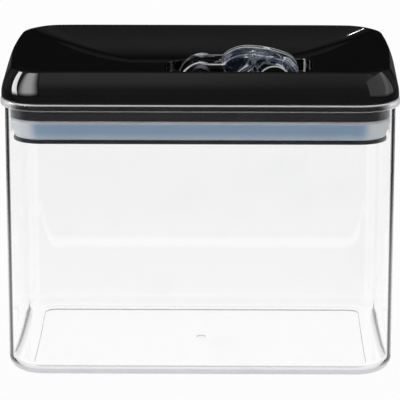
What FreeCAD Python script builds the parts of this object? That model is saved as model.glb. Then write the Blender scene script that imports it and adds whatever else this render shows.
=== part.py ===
import FreeCAD, Part
import math
import os
import Sketcher

Vector = FreeCAD.Vector

# Driving dimensions in millimetres (angles in degrees). The origin is on the table under the
# middle of the container, X runs along its width, Y to its back and Z up.
SIZES = {
    # container
    "body_width": 227.0,
    "body_depth": 145.0,
    "body_height": 164.5,
    "body_corner": 22.0,
    "body_wall": 2.5,
    "body_draft": 0.1,
    "floor_thickness": 4.0,
    "base_edge_radius": 8.0,
    "floor_edge_radius": 5.5,
    "flange_overhang": 2.5,
    "flange_thickness": 4.4,
    "flange_edge_radius": 1.2,
    "foot_inset": 15.0,
    "foot_recess": 0.8,
    "gate_diameter": 5.0,
    "gate_depth": 0.6,
    # lid cover
    "lid_gap": 0.2,
    "cover_height": 18.3,
    "cover_middle_height": 9.0,
    "cover_middle_lean": 0.6,
    "cover_inset": 1.0,
    "cover_lean": 3.0,
    "cover_wall": 2.2,
    "cover_edge_radius": 1.2,
    "rim_land": 2.6,
    "dish_depth": 11.8,
    "dish_middle_depth": 8.2,
    "dish_middle_width": 152.0,
    "dish_middle_reach": 90.0,
    "dish_floor_width": 86.0,
    "dish_floor_reach": 42.0,
    "dish_middle_corner": 6.0,
    "dish_floor_corner": 4.0,
    "well_width": 88.0,
    "well_reach": 44.0,
    "well_corner": 14.0,
    "well_shift": 22.0,
    "well_depth": 18.4,
    # plug frame
    "plug_wall": 2.2,
    "plug_clearance": 0.6,
    "plug_depth": 10.8,
    "plug_core_height": 10.0,
    "cup_width": 36.5,
    "cup_reach": 30.4,
    "cup_corner": 4.0,
    "cup_shift": 1.2,
    "gland_diameter": 17.0,
    "gland_height": 3.6,
    "part_gap": 0.3,
    # gasket
    "gasket_height": 11.6,
    "gasket_thickness": 7.0,
    "gasket_clearance": 0.35,
    "gasket_taper": 2.8,
    "gasket_crown_height": 3.0,
    "gasket_crown_chamfer": 1.4,
    # pressure plate
    "plate_thickness": 2.0,
    "plate_inset": 2.3,
    "plate_edge_radius": 0.6,
    "plate_guide_height": 7.0,
    "plate_rib_height": 4.0,
    "plate_rib_width": 1.8,
    "plate_rib_start": 15.0,
    "rod_socket_wall": 2.0,
    "rod_socket_height": 1.0,
    # lever and its cam
    "lever_width": 28.0,
    "lever_reach": 58.4,
    "lever_skin": 3.0,
    "lever_edge_radius": 1.6,
    "lever_gap": 0.9,
    "pivot_above_well": 1.4,
    "hub_top": 10.0,
    "hub_left": -4.6,
    "hub_bulge": 1.8,
    "hub_heel": 12.0,
    "dome_start": 12.8,
    "dome_crest": 27.5,
    "dome_height": 16.0,
    "dome_shoulder": 51.0,
    "dome_shoulder_height": 11.5,
    "core_start": 18.5,
    "arch_centre": 43.6,
    "arch_radius": 9.6,
    "arch_top": 8.1,
    "cam_open": 14.0,
    "cam_travel": 2.5,
    "cam_gap": 0.3,
    "lever_swing": 90.0,
    "slot_end": 8.0,
    # rod, pin, seal and spring
    "rod_diameter": 8.0,
    "rod_eye_diameter": 12.0,
    "rod_eye_width": 10.2,
    "running_fit": 0.05,
    "pin_diameter": 4.0,
    "pin_length": 27.0,
    "ring_section": 1.8,
    "gland_ring_diameter": 12.0,
    "gland_ring_height": 0.9,
    "spring_diameter": 22.0,
    "spring_wire": 1.0,
    "spring_turns": 2.5,
    # fasteners
    "plate_screw_diameter": 4.0,
    "plate_screw_length": 14.0,
    "plate_screw_head": 8.0,
    "plate_screw_head_height": 2.4,
    "washer_diameter": 10.0,
    "washer_thickness": 1.0,
    "cap_diameter": 20.0,
    "cap_wall": 1.4,
    "cap_gap": 0.6,
    "cover_screw_diameter": 3.0,
    "cover_screw_length": 10.0,
    "cover_screw_head": 5.6,
    "cover_screw_head_height": 2.0,
    "cover_screw_spread": 140.0,
    "cover_screw_reach": 88.0,
    "boss_diameter": 7.0,
}

doc = FreeCAD.newDocument("PantryContainer")
sheet = doc.addObject("Spreadsheet::Sheet", "Sizes")
for row, (alias, number) in enumerate(SIZES.items(), start=1):
    sheet.set(f"A{row}", alias)
    sheet.set(f"B{row}", str(number))
    sheet.setAlias(f"B{row}", alias)
doc.recompute()


def cell(alias):
    """Expression that reads one driving dimension."""
    return f"Sizes.{alias}"


def total(*terms):
    """Expression that adds terms, each an alias or a bracketed expression, with its sign."""
    parts = []
    for term in terms:
        sign = "-" if term.startswith("-") else "+"
        name = term.lstrip("-")
        parts.append(f" {sign} " + (cell(name) if name in SIZES else f"({name})"))
    return "".join(parts).removeprefix(" + ").strip()


def size(expression):
    """Number that an expression gives with the sheet's present values."""
    return float(sheet.evalExpression(expression))


# Heights above the table, from the container's mouth upwards into the lid and down its plug.
SEAT = total("body_height", "lid_gap")
LID_TOP = total(SEAT, "cover_height")
ROOF_UNDER = total(LID_TOP, "-cover_wall")
WELL_FLOOR = total(LID_TOP, "-well_depth")
WELL_UNDER = total(WELL_FLOOR, "-cover_wall")
PIVOT = total(WELL_FLOOR, "pivot_above_well")
CUP_FLOOR = total(PIVOT, "-cam_open", "-cam_travel", "-cam_gap")
CUP_UNDER = total(CUP_FLOOR, "-plug_wall")
GLAND_UNDER = total(CUP_UNDER, "-gland_height")
WEB_UNDER = total(SEAT, "-plug_depth")
WEB_TOP = total(WEB_UNDER, "plug_wall")
GASKET_TOP = total(WEB_UNDER, "-lid_gap")
GASKET_UNDER = total(GASKET_TOP, "-gasket_height")
PLATE_TOP = total(GASKET_UNDER, "-lid_gap")
PLATE_UNDER = total(PLATE_TOP, "-plate_thickness")


class Outline:
    """Rounded rectangle given by the expressions of its width, depth and corner radius."""

    def __init__(self, width, depth, corner):
        self.width = width
        self.depth = depth
        self.corner = corner

    def grown(self, amount):
        """Parallel outline, further out by an amount (an expression, negative for inwards)."""
        return Outline(
            f"({self.width}) + 2 * ({amount})",
            f"({self.depth}) + 2 * ({amount})",
            f"({self.corner}) + ({amount})",
        )


BODY = Outline(cell("body_width"), cell("body_depth"), cell("body_corner"))
MOUTH = BODY.grown(f"-{cell('body_wall')}")
FLANGE = BODY.grown(cell("flange_overhang"))
COVER = FLANGE.grown(f"-{cell('cover_inset')}")
COVER_MIDDLE = COVER.grown(f"-{cell('cover_middle_lean')}")
COVER_TOP = COVER.grown(f"-{cell('cover_lean')}")
COVER_INSIDE = COVER.grown(f"-{cell('cover_wall')}")
DISH_TOP = COVER_TOP.grown(f"-{cell('rim_land')}")
DISH_MIDDLE = Outline(
    cell("dish_middle_width"), cell("dish_middle_reach"), cell("dish_middle_corner")
)
DISH_FLOOR = Outline(
    cell("dish_floor_width"), cell("dish_floor_reach"), cell("dish_floor_corner")
)
WELL = Outline(cell("well_width"), cell("well_reach"), cell("well_corner"))
CUP = Outline(cell("cup_width"), cell("cup_reach"), cell("cup_corner"))
PLUG = MOUTH.grown(f"-{cell('plug_clearance')}")
GASKET = MOUTH.grown(f"-{cell('gasket_clearance')}")
GASKET_BACK = GASKET.grown(f"-{cell('gasket_thickness')}")
CORE = GASKET_BACK.grown(f"-{cell('part_gap')}")
CORE_INSIDE = CORE.grown(f"-{cell('plug_wall')}")
GUIDE = CORE_INSIDE.grown(f"-{cell('part_gap')}")
PLATE = MOUTH.grown(f"-{cell('plate_inset')}")

COVER_SCREWS = [
    (f"{right} * {cell('cover_screw_spread')} / 2", f"{back} * {cell('cover_screw_reach')} / 2")
    for right in (-1, 1)
    for back in (-1, 1)
]


def new_body(name):
    """Empty body whose label names the sub-part."""
    body = doc.addObject("PartDesign::Body", name)
    body.Label = name
    return body


def new_sketch(body, name, height="0", shift="0", role="XY_Plane"):
    """Sketch on one of the body's origin planes, moved along its normal and sideways."""
    sketch = body.newObject("Sketcher::SketchObject", f"{body.Name}_{name}")
    plane = next(item for item in body.Origin.OriginFeatures if item.Role == role)
    sketch.AttachmentSupport = [(plane, "")]
    sketch.MapMode = "FlatFace"
    sketch.setExpression("AttachmentOffset.Base.z", height)
    sketch.setExpression("AttachmentOffset.Base.x", shift)
    return sketch


def drive(sketch, kind, *references, expression):
    """Dimensional constraint whose value follows an expression."""
    index = sketch.addConstraint(Sketcher.Constraint(kind, *references, size(expression)))
    sketch.setExpression(f"Constraints[{index}]", expression)


def draw_outline(sketch, outline):
    """Rounded rectangle about the sketch's origin."""
    radius = size(outline.corner)
    half_x = size(outline.width) / 2
    half_y = size(outline.depth) / 2
    flat_x = half_x - radius
    flat_y = half_y - radius
    ends = [
        ((-flat_x, -half_y), (flat_x, -half_y)),
        ((half_x, -flat_y), (half_x, flat_y)),
        ((flat_x, half_y), (-flat_x, half_y)),
        ((-half_x, flat_y), (-half_x, -flat_y)),
    ]
    centres = [(flat_x, -flat_y), (flat_x, flat_y), (-flat_x, flat_y), (-flat_x, -flat_y)]
    sides = []
    corners = []
    for turn, ((start, end), centre) in enumerate(zip(ends, centres)):
        line = Part.LineSegment(Vector(*start, 0), Vector(*end, 0))
        circle = Part.Circle(Vector(*centre, 0), Vector(0, 0, 1), radius)
        arc = Part.ArcOfCircle(circle, (turn - 1) * math.pi / 2, turn * math.pi / 2)
        sides.append(sketch.addGeometry(line))
        corners.append(sketch.addGeometry(arc))
    for turn in range(4):
        following = sides[(turn + 1) % 4]
        direction = "Horizontal" if turn % 2 == 0 else "Vertical"
        sketch.addConstraint(Sketcher.Constraint("Tangent", sides[turn], 2, corners[turn], 1))
        sketch.addConstraint(Sketcher.Constraint("Tangent", corners[turn], 2, following, 1))
        sketch.addConstraint(Sketcher.Constraint(direction, sides[turn]))
    for corner in corners[1:]:
        sketch.addConstraint(Sketcher.Constraint("Equal", corners[0], corner))
    sketch.addConstraint(Sketcher.Constraint("Symmetric", corners[0], 3, corners[2], 3, -1, 1))
    drive(sketch, "DistanceX", sides[3], 1, sides[1], 1, expression=outline.width)
    drive(sketch, "DistanceY", sides[0], 1, sides[2], 1, expression=outline.depth)
    drive(sketch, "Radius", corners[0], expression=outline.corner)


def draw_circle(sketch, diameter, centre=("0", "0")):
    """Circle of a driven diameter about a driven centre."""
    place = Vector(size(centre[0]), size(centre[1]), 0)
    circle = Part.Circle(place, Vector(0, 0, 1), size(diameter) / 2)
    index = sketch.addGeometry(circle)
    drive(sketch, "Diameter", index, expression=diameter)
    drive(sketch, "DistanceX", -1, 1, index, 3, expression=centre[0])
    drive(sketch, "DistanceY", -1, 1, index, 3, expression=centre[1])


def draw_polygon(sketch, points):
    """Closed polygon through driven points."""
    places = [Vector(size(x), size(y), 0) for x, y in points]
    count = len(places)
    lines = [
        sketch.addGeometry(Part.LineSegment(places[step], places[(step + 1) % count]))
        for step in range(count)
    ]
    for step, line in enumerate(lines):
        following = lines[(step + 1) % count]
        sketch.addConstraint(Sketcher.Constraint("Coincident", line, 2, following, 1))
        drive(sketch, "DistanceX", -1, 1, line, 1, expression=points[step][0])
        drive(sketch, "DistanceY", -1, 1, line, 1, expression=points[step][1])


def extrude(body, kind, sketch, length, upwards=True, taper=None):
    """Pad or pocket of a sketch along Z."""
    feature = body.newObject(f"PartDesign::{kind}", f"{sketch.Name}_{kind}")
    feature.Profile = sketch
    feature.Reversed = upwards != (kind == "Pad")
    feature.setExpression("Length", length)
    if taper:
        feature.setExpression("TaperAngle", taper)
    doc.recompute()
    return feature


def loft(body, kind, sketches):
    """Smooth loft through sketches, added or taken away."""
    feature = body.newObject(f"PartDesign::{kind}", f"{sketches[0].Name}_{kind}")
    feature.Profile = sketches[0]
    feature.Sections = sketches[1:]
    doc.recompute()
    return feature


def round_edges(body, name, radius, chosen):
    """Fillet on the edges of the body's last feature that pass a test."""
    base = body.Tip
    edges = [f"Edge{i}" for i, edge in enumerate(base.Shape.Edges, start=1) if chosen(edge)]
    fillet = body.newObject("PartDesign::Fillet", f"{body.Name}_{name}")
    fillet.Base = (base, edges)
    fillet.setExpression("Radius", radius)
    doc.recompute()
    return fillet


def lies_at(edge, height):
    """Whether an edge lies in one level plane."""
    box = edge.BoundBox
    return abs(box.ZMin - height) < 1e-4 and abs(box.ZMax - height) < 1e-4


def cylinder(name, diameter, height, base=("0", "0", "0"), along_y=False):
    """Upright cylinder, or one along Y whose base is its front end."""
    shape = doc.addObject("Part::Cylinder", name)
    shape.setExpression("Radius", f"({diameter}) / 2")
    shape.setExpression("Height", height)
    if along_y:
        shape.Placement.Rotation = FreeCAD.Rotation(Vector(1, 0, 0), -90)
    for axis, expression in zip("xyz", base):
        shape.setExpression(f"Placement.Base.{axis}", expression)
    return shape


def cut(name, base, tool):
    """First solid with the second taken away."""
    shape = doc.addObject("Part::Cut", name)
    shape.Base = base
    shape.Tool = tool
    shape.Label = name
    return shape


def fuse(name, solids):
    """Solids joined into one."""
    shape = doc.addObject("Part::MultiFuse", name)
    shape.Shapes = solids
    shape.Label = name
    return shape


def make_container_body():
    """Clear box: drafted walls, rounded base, flange round the mouth, shallow foot recess."""
    body = new_body("container_body")
    top = new_sketch(body, "top", cell("body_height"))
    draw_outline(top, BODY)
    extrude(body, "Pad", top, cell("body_height"), upwards=False, taper=f"-{cell('body_draft')}")
    round_edges(body, "base", cell("base_edge_radius"), lambda edge: lies_at(edge, 0))
    flange = new_sketch(body, "flange", total("body_height", "-flange_thickness"))
    draw_outline(flange, FLANGE)
    extrude(body, "Pad", flange, cell("flange_thickness"))
    mouth = new_sketch(body, "mouth", cell("body_height"))
    draw_outline(mouth, MOUTH)
    inside = total("body_height", "-floor_thickness")
    extrude(body, "Pocket", mouth, inside, upwards=False, taper=f"-{cell('body_draft')}")
    floor = size(cell("floor_thickness"))
    round_edges(body, "floor", cell("floor_edge_radius"), lambda edge: lies_at(edge, floor))
    reach = size(FLANGE.width) / 2
    deep = size(FLANGE.depth) / 2
    rim = size(cell("body_height"))
    under = size(total("body_height", "-flange_thickness"))

    def on_flange(edge):
        level = lies_at(edge, rim) or lies_at(edge, under)
        far = max(abs(edge.BoundBox.XMin), abs(edge.BoundBox.XMax))
        front = max(abs(edge.BoundBox.YMin), abs(edge.BoundBox.YMax))
        return level and (far > reach - 1e-3 or front > deep - 1e-3)

    round_edges(body, "flange_edge", cell("flange_edge_radius"), on_flange)
    foot = new_sketch(body, "foot")
    draw_outline(foot, BODY.grown(f"-{cell('foot_inset')}"))
    extrude(body, "Pocket", foot, cell("foot_recess"))
    gate = new_sketch(body, "gate", cell("foot_recess"))
    draw_circle(gate, cell("gate_diameter"))
    extrude(body, "Pocket", gate, cell("gate_depth"))
    return body


def dish_sketches(body, name, drop):
    """Three outlines of the dish, each lowered by the same amount."""
    depths = ["0", cell("dish_middle_depth"), cell("dish_depth")]
    sketches = []
    for step, (outline, depth) in enumerate(zip((DISH_TOP, DISH_MIDDLE, DISH_FLOOR), depths)):
        sketch = new_sketch(body, f"{name}{step}", f"{LID_TOP} - ({depth}) - ({drop})")
        draw_outline(sketch, outline)
        sketches.append(sketch)
    return sketches


def skirt_sketches(body, name, inset, top):
    """Three outlines of the skirt from its foot to a top height, each inset by an amount."""
    heights = [SEAT, total(SEAT, "cover_middle_height"), top]
    sketches = []
    for step, (outline, height) in enumerate(zip((COVER, COVER_MIDDLE, COVER_TOP), heights)):
        sketch = new_sketch(body, f"{name}{step}", height)
        draw_outline(sketch, outline.grown(f"-({inset})"))
        sketches.append(sketch)
    return sketches


def make_lid_cover():
    """Black top shell: bulging skirt, dish of even thickness, lever well and screw bosses."""
    body = new_body("lid_cover")
    loft(body, "AdditiveLoft", skirt_sketches(body, "skirt", "0", LID_TOP))
    inside = skirt_sketches(body, "inside", cell("cover_wall"), ROOF_UNDER)
    loft(body, "SubtractiveLoft", inside)
    loft(body, "AdditiveLoft", dish_sketches(body, "under", cell("cover_wall")))
    well_wall = new_sketch(body, "well_wall", WELL_UNDER, cell("well_shift"))
    draw_outline(well_wall, WELL.grown(cell("cover_wall")))
    extrude(body, "Pad", well_wall, f"{ROOF_UNDER} - ({WELL_UNDER})")
    bosses = new_sketch(body, "bosses", WEB_TOP)
    for centre in COVER_SCREWS:
        draw_circle(bosses, cell("boss_diameter"), centre)
    extrude(body, "Pad", bosses, f"{ROOF_UNDER} - ({WEB_TOP})")
    loft(body, "SubtractiveLoft", dish_sketches(body, "dish", "0"))
    well = new_sketch(body, "well", LID_TOP, cell("well_shift"))
    draw_outline(well, WELL)
    extrude(body, "Pocket", well, cell("well_depth"), upwards=False)
    window = new_sketch(body, "window", WELL_FLOOR, cell("cup_shift"))
    draw_outline(window, CUP)
    extrude(body, "Pocket", window, total("cover_wall", "part_gap"), upwards=False)
    pilots = new_sketch(body, "pilots", WEB_TOP)
    for centre in COVER_SCREWS:
        draw_circle(pilots, total("cover_screw_diameter", f"2 * {cell('running_fit')}"), centre)
    extrude(body, "Pocket", pilots, cell("cover_screw_length"))
    top = size(LID_TOP)
    round_edges(body, "rim", cell("cover_edge_radius"), lambda edge: lies_at(edge, top))
    return body


def make_plug_frame():
    """Black tray of the lid: collar, web, core behind the gasket, cup for the cam."""
    body = new_body("plug_frame")
    collar = new_sketch(body, "collar", WEB_UNDER)
    draw_outline(collar, PLUG)
    extrude(body, "Pad", collar, cell("plug_depth"))
    flange = new_sketch(body, "flange", SEAT)
    draw_outline(flange, COVER_INSIDE.grown(f"-{cell('part_gap')}"))
    extrude(body, "Pad", flange, cell("plug_wall"))
    tray = new_sketch(body, "tray", total(SEAT, "plug_wall"))
    draw_outline(tray, PLUG.grown(f"-{cell('plug_wall')}"))
    extrude(body, "Pocket", tray, cell("plug_depth"), upwards=False)
    core = new_sketch(body, "core", WEB_UNDER)
    draw_outline(core, CORE)
    draw_outline(core, CORE_INSIDE)
    extrude(body, "Pad", core, cell("plug_core_height"), upwards=False)
    cup_wall = new_sketch(body, "cup_wall", CUP_UNDER, cell("cup_shift"))
    draw_outline(cup_wall, CUP.grown(cell("plug_wall")))
    extrude(body, "Pad", cup_wall, f"{WELL_UNDER} - ({CUP_UNDER})")
    cup = new_sketch(body, "cup", WELL_UNDER, cell("cup_shift"))
    draw_outline(cup, CUP)
    extrude(body, "Pocket", cup, f"{WELL_UNDER} - ({CUP_FLOOR})", upwards=False)
    gland = new_sketch(body, "gland", CUP_UNDER)
    draw_circle(gland, cell("gland_diameter"))
    extrude(body, "Pad", gland, cell("gland_height"), upwards=False)
    bore = new_sketch(body, "bore", CUP_FLOOR)
    draw_circle(bore, total("rod_diameter", f"2 * {cell('running_fit')}"))
    extrude(body, "Pocket", bore, total("plug_wall", "gland_height"), upwards=False)
    seal = new_sketch(body, "seal", GLAND_UNDER)
    draw_circle(seal, cell("gland_ring_diameter"))
    extrude(body, "Pocket", seal, total("gland_ring_height", "ring_section", "running_fit"))
    holes = new_sketch(body, "holes", WEB_UNDER)
    for centre in COVER_SCREWS:
        draw_circle(holes, total("cover_screw_diameter", f"2 * {cell('part_gap')}"), centre)
    extrude(body, "Pocket", holes, cell("plug_wall"))
    return body


def make_seal_gasket():
    """Silicone band: a crowned, tapering section carried round the plug."""
    body = new_body("seal_gasket")
    path = new_sketch(body, "path", GASKET_TOP)
    draw_outline(path, GASKET_BACK)
    section = new_sketch(body, "section", role="XZ_Plane")
    back = f"({GASKET_BACK.width}) / 2"
    face = f"({GASKET.width}) / 2"
    points = [
        (back, GASKET_UNDER),
        (f"{face} - {cell('gasket_taper')}", GASKET_UNDER),
        (face, f"{GASKET_TOP} - {cell('gasket_crown_height')}"),
        (face, f"{GASKET_TOP} - {cell('gasket_crown_chamfer')}"),
        (f"{face} - {cell('gasket_crown_chamfer')}", GASKET_TOP),
        (back, GASKET_TOP),
    ]
    draw_polygon(section, points)
    pipe = body.newObject("PartDesign::AdditivePipe", "seal_gasket_pipe")
    pipe.Profile = section
    pipe.Spine = (path, [])
    doc.recompute()
    return body


def make_pressure_plate():
    """Black plate under the gasket: guide wall, ribs and a socket for the rod."""
    body = new_body("pressure_plate")
    plate = new_sketch(body, "plate", PLATE_UNDER)
    draw_outline(plate, PLATE)
    extrude(body, "Pad", plate, cell("plate_thickness"))
    top = size(PLATE_TOP)
    under = size(PLATE_UNDER)
    round_edges(
        body,
        "edge",
        cell("plate_edge_radius"),
        lambda edge: lies_at(edge, top) or lies_at(edge, under),
    )
    guide = new_sketch(body, "guide", PLATE_TOP)
    draw_outline(guide, GUIDE)
    draw_outline(guide, GUIDE.grown(f"-{cell('plug_wall')}"))
    extrude(body, "Pad", guide, cell("plate_guide_height"))
    half = cell("plate_rib_width") + " / 2"
    start = cell("plate_rib_start")
    far_x = f"({GUIDE.width}) / 2 - {cell('plug_wall')} / 2"
    far_y = f"({GUIDE.depth}) / 2 - {cell('plug_wall')} / 2"
    ribs = new_sketch(body, "ribs", PLATE_TOP)
    for sign in ("", "-"):
        near = f"{sign}({start})"
        along_x = [(near, f"-{half}"), (f"{sign}({far_x})", f"-{half}")]
        draw_polygon(ribs, along_x + [(x, half) for x, _ in reversed(along_x)])
        along_y = [(f"-{half}", near), (f"-{half}", f"{sign}({far_y})")]
        draw_polygon(ribs, along_y + [(half, y) for _, y in reversed(along_y)])
    extrude(body, "Pad", ribs, cell("plate_rib_height"))
    socket = new_sketch(body, "socket", PLATE_TOP)
    bore = total("rod_diameter", f"2 * {cell('running_fit')}")
    draw_circle(socket, f"{bore} + 2 * {cell('rod_socket_wall')}")
    draw_circle(socket, bore)
    extrude(body, "Pad", socket, cell("rod_socket_height"))
    hole = new_sketch(body, "hole", PLATE_TOP)
    draw_circle(hole, total("plate_screw_diameter", f"2 * {cell('running_fit')}"))
    extrude(body, "Pocket", hole, cell("plate_thickness"), upwards=False)
    return body


def arc_to(start, middle, end):
    """Edge of the arc through three points of the lever's side view (X, Z)."""
    points = [Vector(x, 0, z) for x, z in (start, middle, end)]
    return Part.Arc(*points).toShape()


def line_to(start, end):
    """Straight edge between two points of the lever's side view (X, Z)."""
    return Part.makeLine(Vector(start[0], 0, start[1]), Vector(end[0], 0, end[1]))


def on_circle(centre, radius, angle):
    """Point of a circle in the side view, at an angle from +X towards +Z."""
    return (centre[0] + radius * math.cos(angle), centre[1] + radius * math.sin(angle))


def dome_edges(skin):
    """Top of the lever from its hub to its tip: three arcs, moved inwards by a skin.

    The first two arcs are level where they meet at the crest, and the last one leaves the
    second without a break and ends upright at the tip. Returns the edges and both ends.
    """
    hub = (size(cell("dome_start")), size(cell("hub_top")))
    crest = (size(cell("dome_crest")), size(cell("dome_height")))
    shoulder = (size(cell("dome_shoulder")), size(cell("dome_shoulder_height")))
    rise_run = crest[0] - hub[0]
    rise = crest[1] - hub[1]
    rise_radius = (rise_run**2 + rise**2) / (2 * rise)
    fall_run = shoulder[0] - crest[0]
    fall = crest[1] - shoulder[1]
    fall_radius = (fall_run**2 + fall**2) / (2 * fall)
    rise_angle = math.pi / 2 + math.asin(rise_run / rise_radius)
    fall_angle = math.pi / 2 - math.asin(fall_run / fall_radius)
    rise_centre = (crest[0], crest[1] - rise_radius)
    fall_centre = (crest[0], crest[1] - fall_radius)
    tip_radius = (size(cell("lever_reach")) - shoulder[0]) / (1 - math.cos(fall_angle))
    tip_centre = on_circle(shoulder, -tip_radius, fall_angle)
    if skin:
        start_x = size(cell("core_start"))
        rise_angle = math.acos((start_x - rise_centre[0]) / (rise_radius - skin))
    arcs = [
        (rise_centre, rise_radius - skin, rise_angle, math.pi / 2),
        (fall_centre, fall_radius - skin, math.pi / 2, fall_angle),
        (tip_centre, tip_radius - skin, fall_angle, 0.0),
    ]
    edges = []
    for centre, radius, first, last in arcs:
        turns = (first, (first + last) / 2, last)
        edges.append(arc_to(*(on_circle(centre, radius, turn) for turn in turns)))
    return edges, on_circle(*arcs[0][:3]), on_circle(tip_centre, tip_radius - skin, 0.0)


def cam_edge():
    """Working face of the cam, an involute whose distance from the pivot grows evenly.

    A tangent with its outward normal at angle a lies at cam_open + slope * (a - 180 degrees)
    from the pivot, so the pivot drops in step with the lever's turn. Returns edge and ends.
    """
    swing = math.radians(size(cell("lever_swing")))
    slope = size(cell("cam_travel")) / swing
    steps = 12
    points = []
    for step in range(steps + 1):
        turn = swing * step / steps
        normal = 1.5 * math.pi - swing + turn
        support = size(cell("cam_open")) + slope * turn
        x = support * math.cos(normal) - slope * math.sin(normal)
        z = support * math.sin(normal) + slope * math.cos(normal)
        points.append((x, z))
    curve = Part.BSplineCurve()
    curve.interpolate([Vector(x, 0, z) for x, z in points])
    return curve.toShape(), points[0], points[-1]


def extrude_side(edges, width):
    """Solid of a closed side view, as wide on the front as on the back."""
    face = Part.Face(Part.Wire(edges))
    face.translate(Vector(0, -width / 2, 0))
    return face.extrude(Vector(0, width, 0))


def lever_solid():
    """Lever about its pivot: cam cheeks, flat hub, hollow domed grip with a finger arch."""
    width = size(cell("lever_width"))
    under = size(total("lever_gap", "-pivot_above_well"))
    hub_left = (size(cell("hub_left")), size(cell("hub_top")))
    dome, dome_start, tip = dome_edges(0.0)
    cam, cam_high, cam_low = cam_edge()
    chord = (hub_left[0] - cam_high[0], hub_left[1] - cam_high[1])
    length = math.hypot(*chord)
    bulge = size(cell("hub_bulge"))
    nose = (
        (hub_left[0] + cam_high[0]) / 2 - bulge * chord[1] / length,
        (hub_left[1] + cam_high[1]) / 2 + bulge * chord[0] / length,
    )
    heel_radius = size(cell("hub_heel"))
    heel_centre = (cam_low[0], cam_low[1] + heel_radius)
    heel_end = on_circle(heel_centre, heel_radius, 0.0)
    heel_middle = on_circle(heel_centre, heel_radius, -math.pi / 4)
    corner = (heel_end[0], under)
    tip_foot = (tip[0], under)
    outline = [
        line_to(hub_left, dome_start),
        *dome,
        line_to(tip, tip_foot),
        line_to(tip_foot, corner),
        line_to(corner, heel_end),
        arc_to(heel_end, heel_middle, cam_low),
        cam,
        arc_to(cam_high, nose, hub_left),
    ]
    solid = extrude_side(outline, width)
    side_edges = [
        edge for edge in solid.Edges if abs(abs(edge.CenterOfMass.y) - width / 2) < 1e-6
    ]
    solid = solid.makeFillet(size(cell("lever_edge_radius")), side_edges)
    skin = size(cell("lever_skin"))
    roof, roof_start, roof_tip = dome_edges(skin)
    below = under - skin
    start_foot = (roof_start[0], below)
    end_foot = (roof_tip[0], below)
    core_edges = [
        *roof,
        line_to(roof_tip, end_foot),
        line_to(end_foot, start_foot),
        line_to(start_foot, roof_start),
    ]
    core = extrude_side(core_edges, width - 2 * skin)
    radius = size(cell("arch_radius"))
    front = Vector(size(cell("arch_centre")), -width, size(total("arch_top", "-arch_radius")))
    arch = Part.makeCylinder(radius, 2 * width, front, Vector(0, 1, 0))
    slot_width = size(total("rod_eye_width", f"2 * {cell('part_gap')}"))
    slot_end = size(cell("slot_end"))
    reach = size(cell("lever_reach"))
    slot = Part.makeBox(reach, slot_width, 2 * reach)
    slot.translate(Vector(slot_end - reach, -slot_width / 2, -reach))
    pin_radius = size(cell("pin_diameter")) / 2
    pin_hole = Part.makeCylinder(pin_radius, 2 * width, Vector(0, -width, 0), Vector(0, 1, 0))
    return solid.cut([core, arch, slot, pin_hole])


def make_lever():
    """Clear lever, lying flat in the well with its pivot above the cup."""
    lever = doc.addObject("Part::Feature", "lever")
    lever.Shape = lever_solid()
    lever.Placement = FreeCAD.Placement(Vector(0, 0, size(PIVOT)), FreeCAD.Rotation())
    return lever


def make_pivot_pin():
    """Steel pin through the lever's cheeks and the rod's eye."""
    front = f"-{cell('pin_length')} / 2"
    return cylinder(
        "pivot_pin", cell("pin_diameter"), cell("pin_length"), ("0", front, PIVOT), along_y=True
    )


def make_pull_rod():
    """Rod from the plate up to the eye on the pivot pin, tapped for the plate's screw."""
    shaft = cylinder(
        "rod_shaft", cell("rod_diameter"), f"{PIVOT} - ({PLATE_TOP})", ("0", "0", PLATE_TOP)
    )
    width = cell("rod_eye_width")
    eye = cylinder(
        "rod_eye", cell("rod_eye_diameter"), width, ("0", f"-{width} / 2", PIVOT), along_y=True
    )
    bore = total("pin_diameter", f"2 * {cell('running_fit')}")
    hole = cylinder("rod_pin_hole", bore, width, ("0", f"-{width} / 2", PIVOT), along_y=True)
    thread = total("plate_screw_diameter", f"2 * {cell('running_fit')}")
    depth = total("plate_screw_length", "-plate_thickness", "-washer_thickness")
    tapping = cylinder("rod_tapping", thread, depth, ("0", "0", PLATE_TOP))
    solid = fuse("rod_solid", [shaft, eye])
    return cut("pull_rod", solid, fuse("rod_holes", [hole, tapping]))


def make_rod_o_ring():
    """Rubber ring round the rod, in the gland under the cup."""
    ring = doc.addObject("Part::Torus", "rod_o_ring")
    half = f"{cell('ring_section')} / 2"
    ring.setExpression("Radius1", f"{cell('rod_diameter')} / 2 + {cell('running_fit')} + {half}")
    ring.setExpression("Radius2", half)
    ring.setExpression("Placement.Base.z", f"{GLAND_UNDER} + {cell('gland_ring_height')} + {half}")
    return ring


def ring(name, outer, inner, height, base):
    """Flat ring about the rod's axis."""
    place = ("0", "0", base)
    disc = cylinder(f"{name}_disc", outer, height, place)
    return cut(name, disc, cylinder(f"{name}_bore", inner, height, place))


def make_gland_ring():
    """Ring pressed in under the O-ring."""
    bore = total("rod_diameter", f"2 * {cell('part_gap')}")
    height = cell("gland_ring_height")
    return ring("gland_ring", cell("gland_ring_diameter"), bore, height, GLAND_UNDER)


def biarc(start, start_way, end, end_way):
    """Two arcs that meet without a break and join two points in given directions."""
    gap = end - start
    both = start_way + end_way
    spread = 2 * (1 - start_way.dot(end_way))
    along = gap.dot(both)
    reach = (math.sqrt(along**2 + spread * gap.dot(gap)) - along) / spread
    knees = (start + start_way * reach, end - end_way * reach)
    meeting = (knees[0] + knees[1]) * 0.5
    edges = []
    for first, knee, last in ((start, knees[0], meeting), (meeting, knees[1], end)):
        chord = (first + last) * 0.5
        half = (last - first).Length / 2
        rise = knee - chord
        radius = half * reach / rise.Length
        bow = radius - math.sqrt(radius**2 - half**2)
        edges.append(Part.Arc(first, chord + rise * (bow / rise.Length), last).toShape())
    return edges


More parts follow.
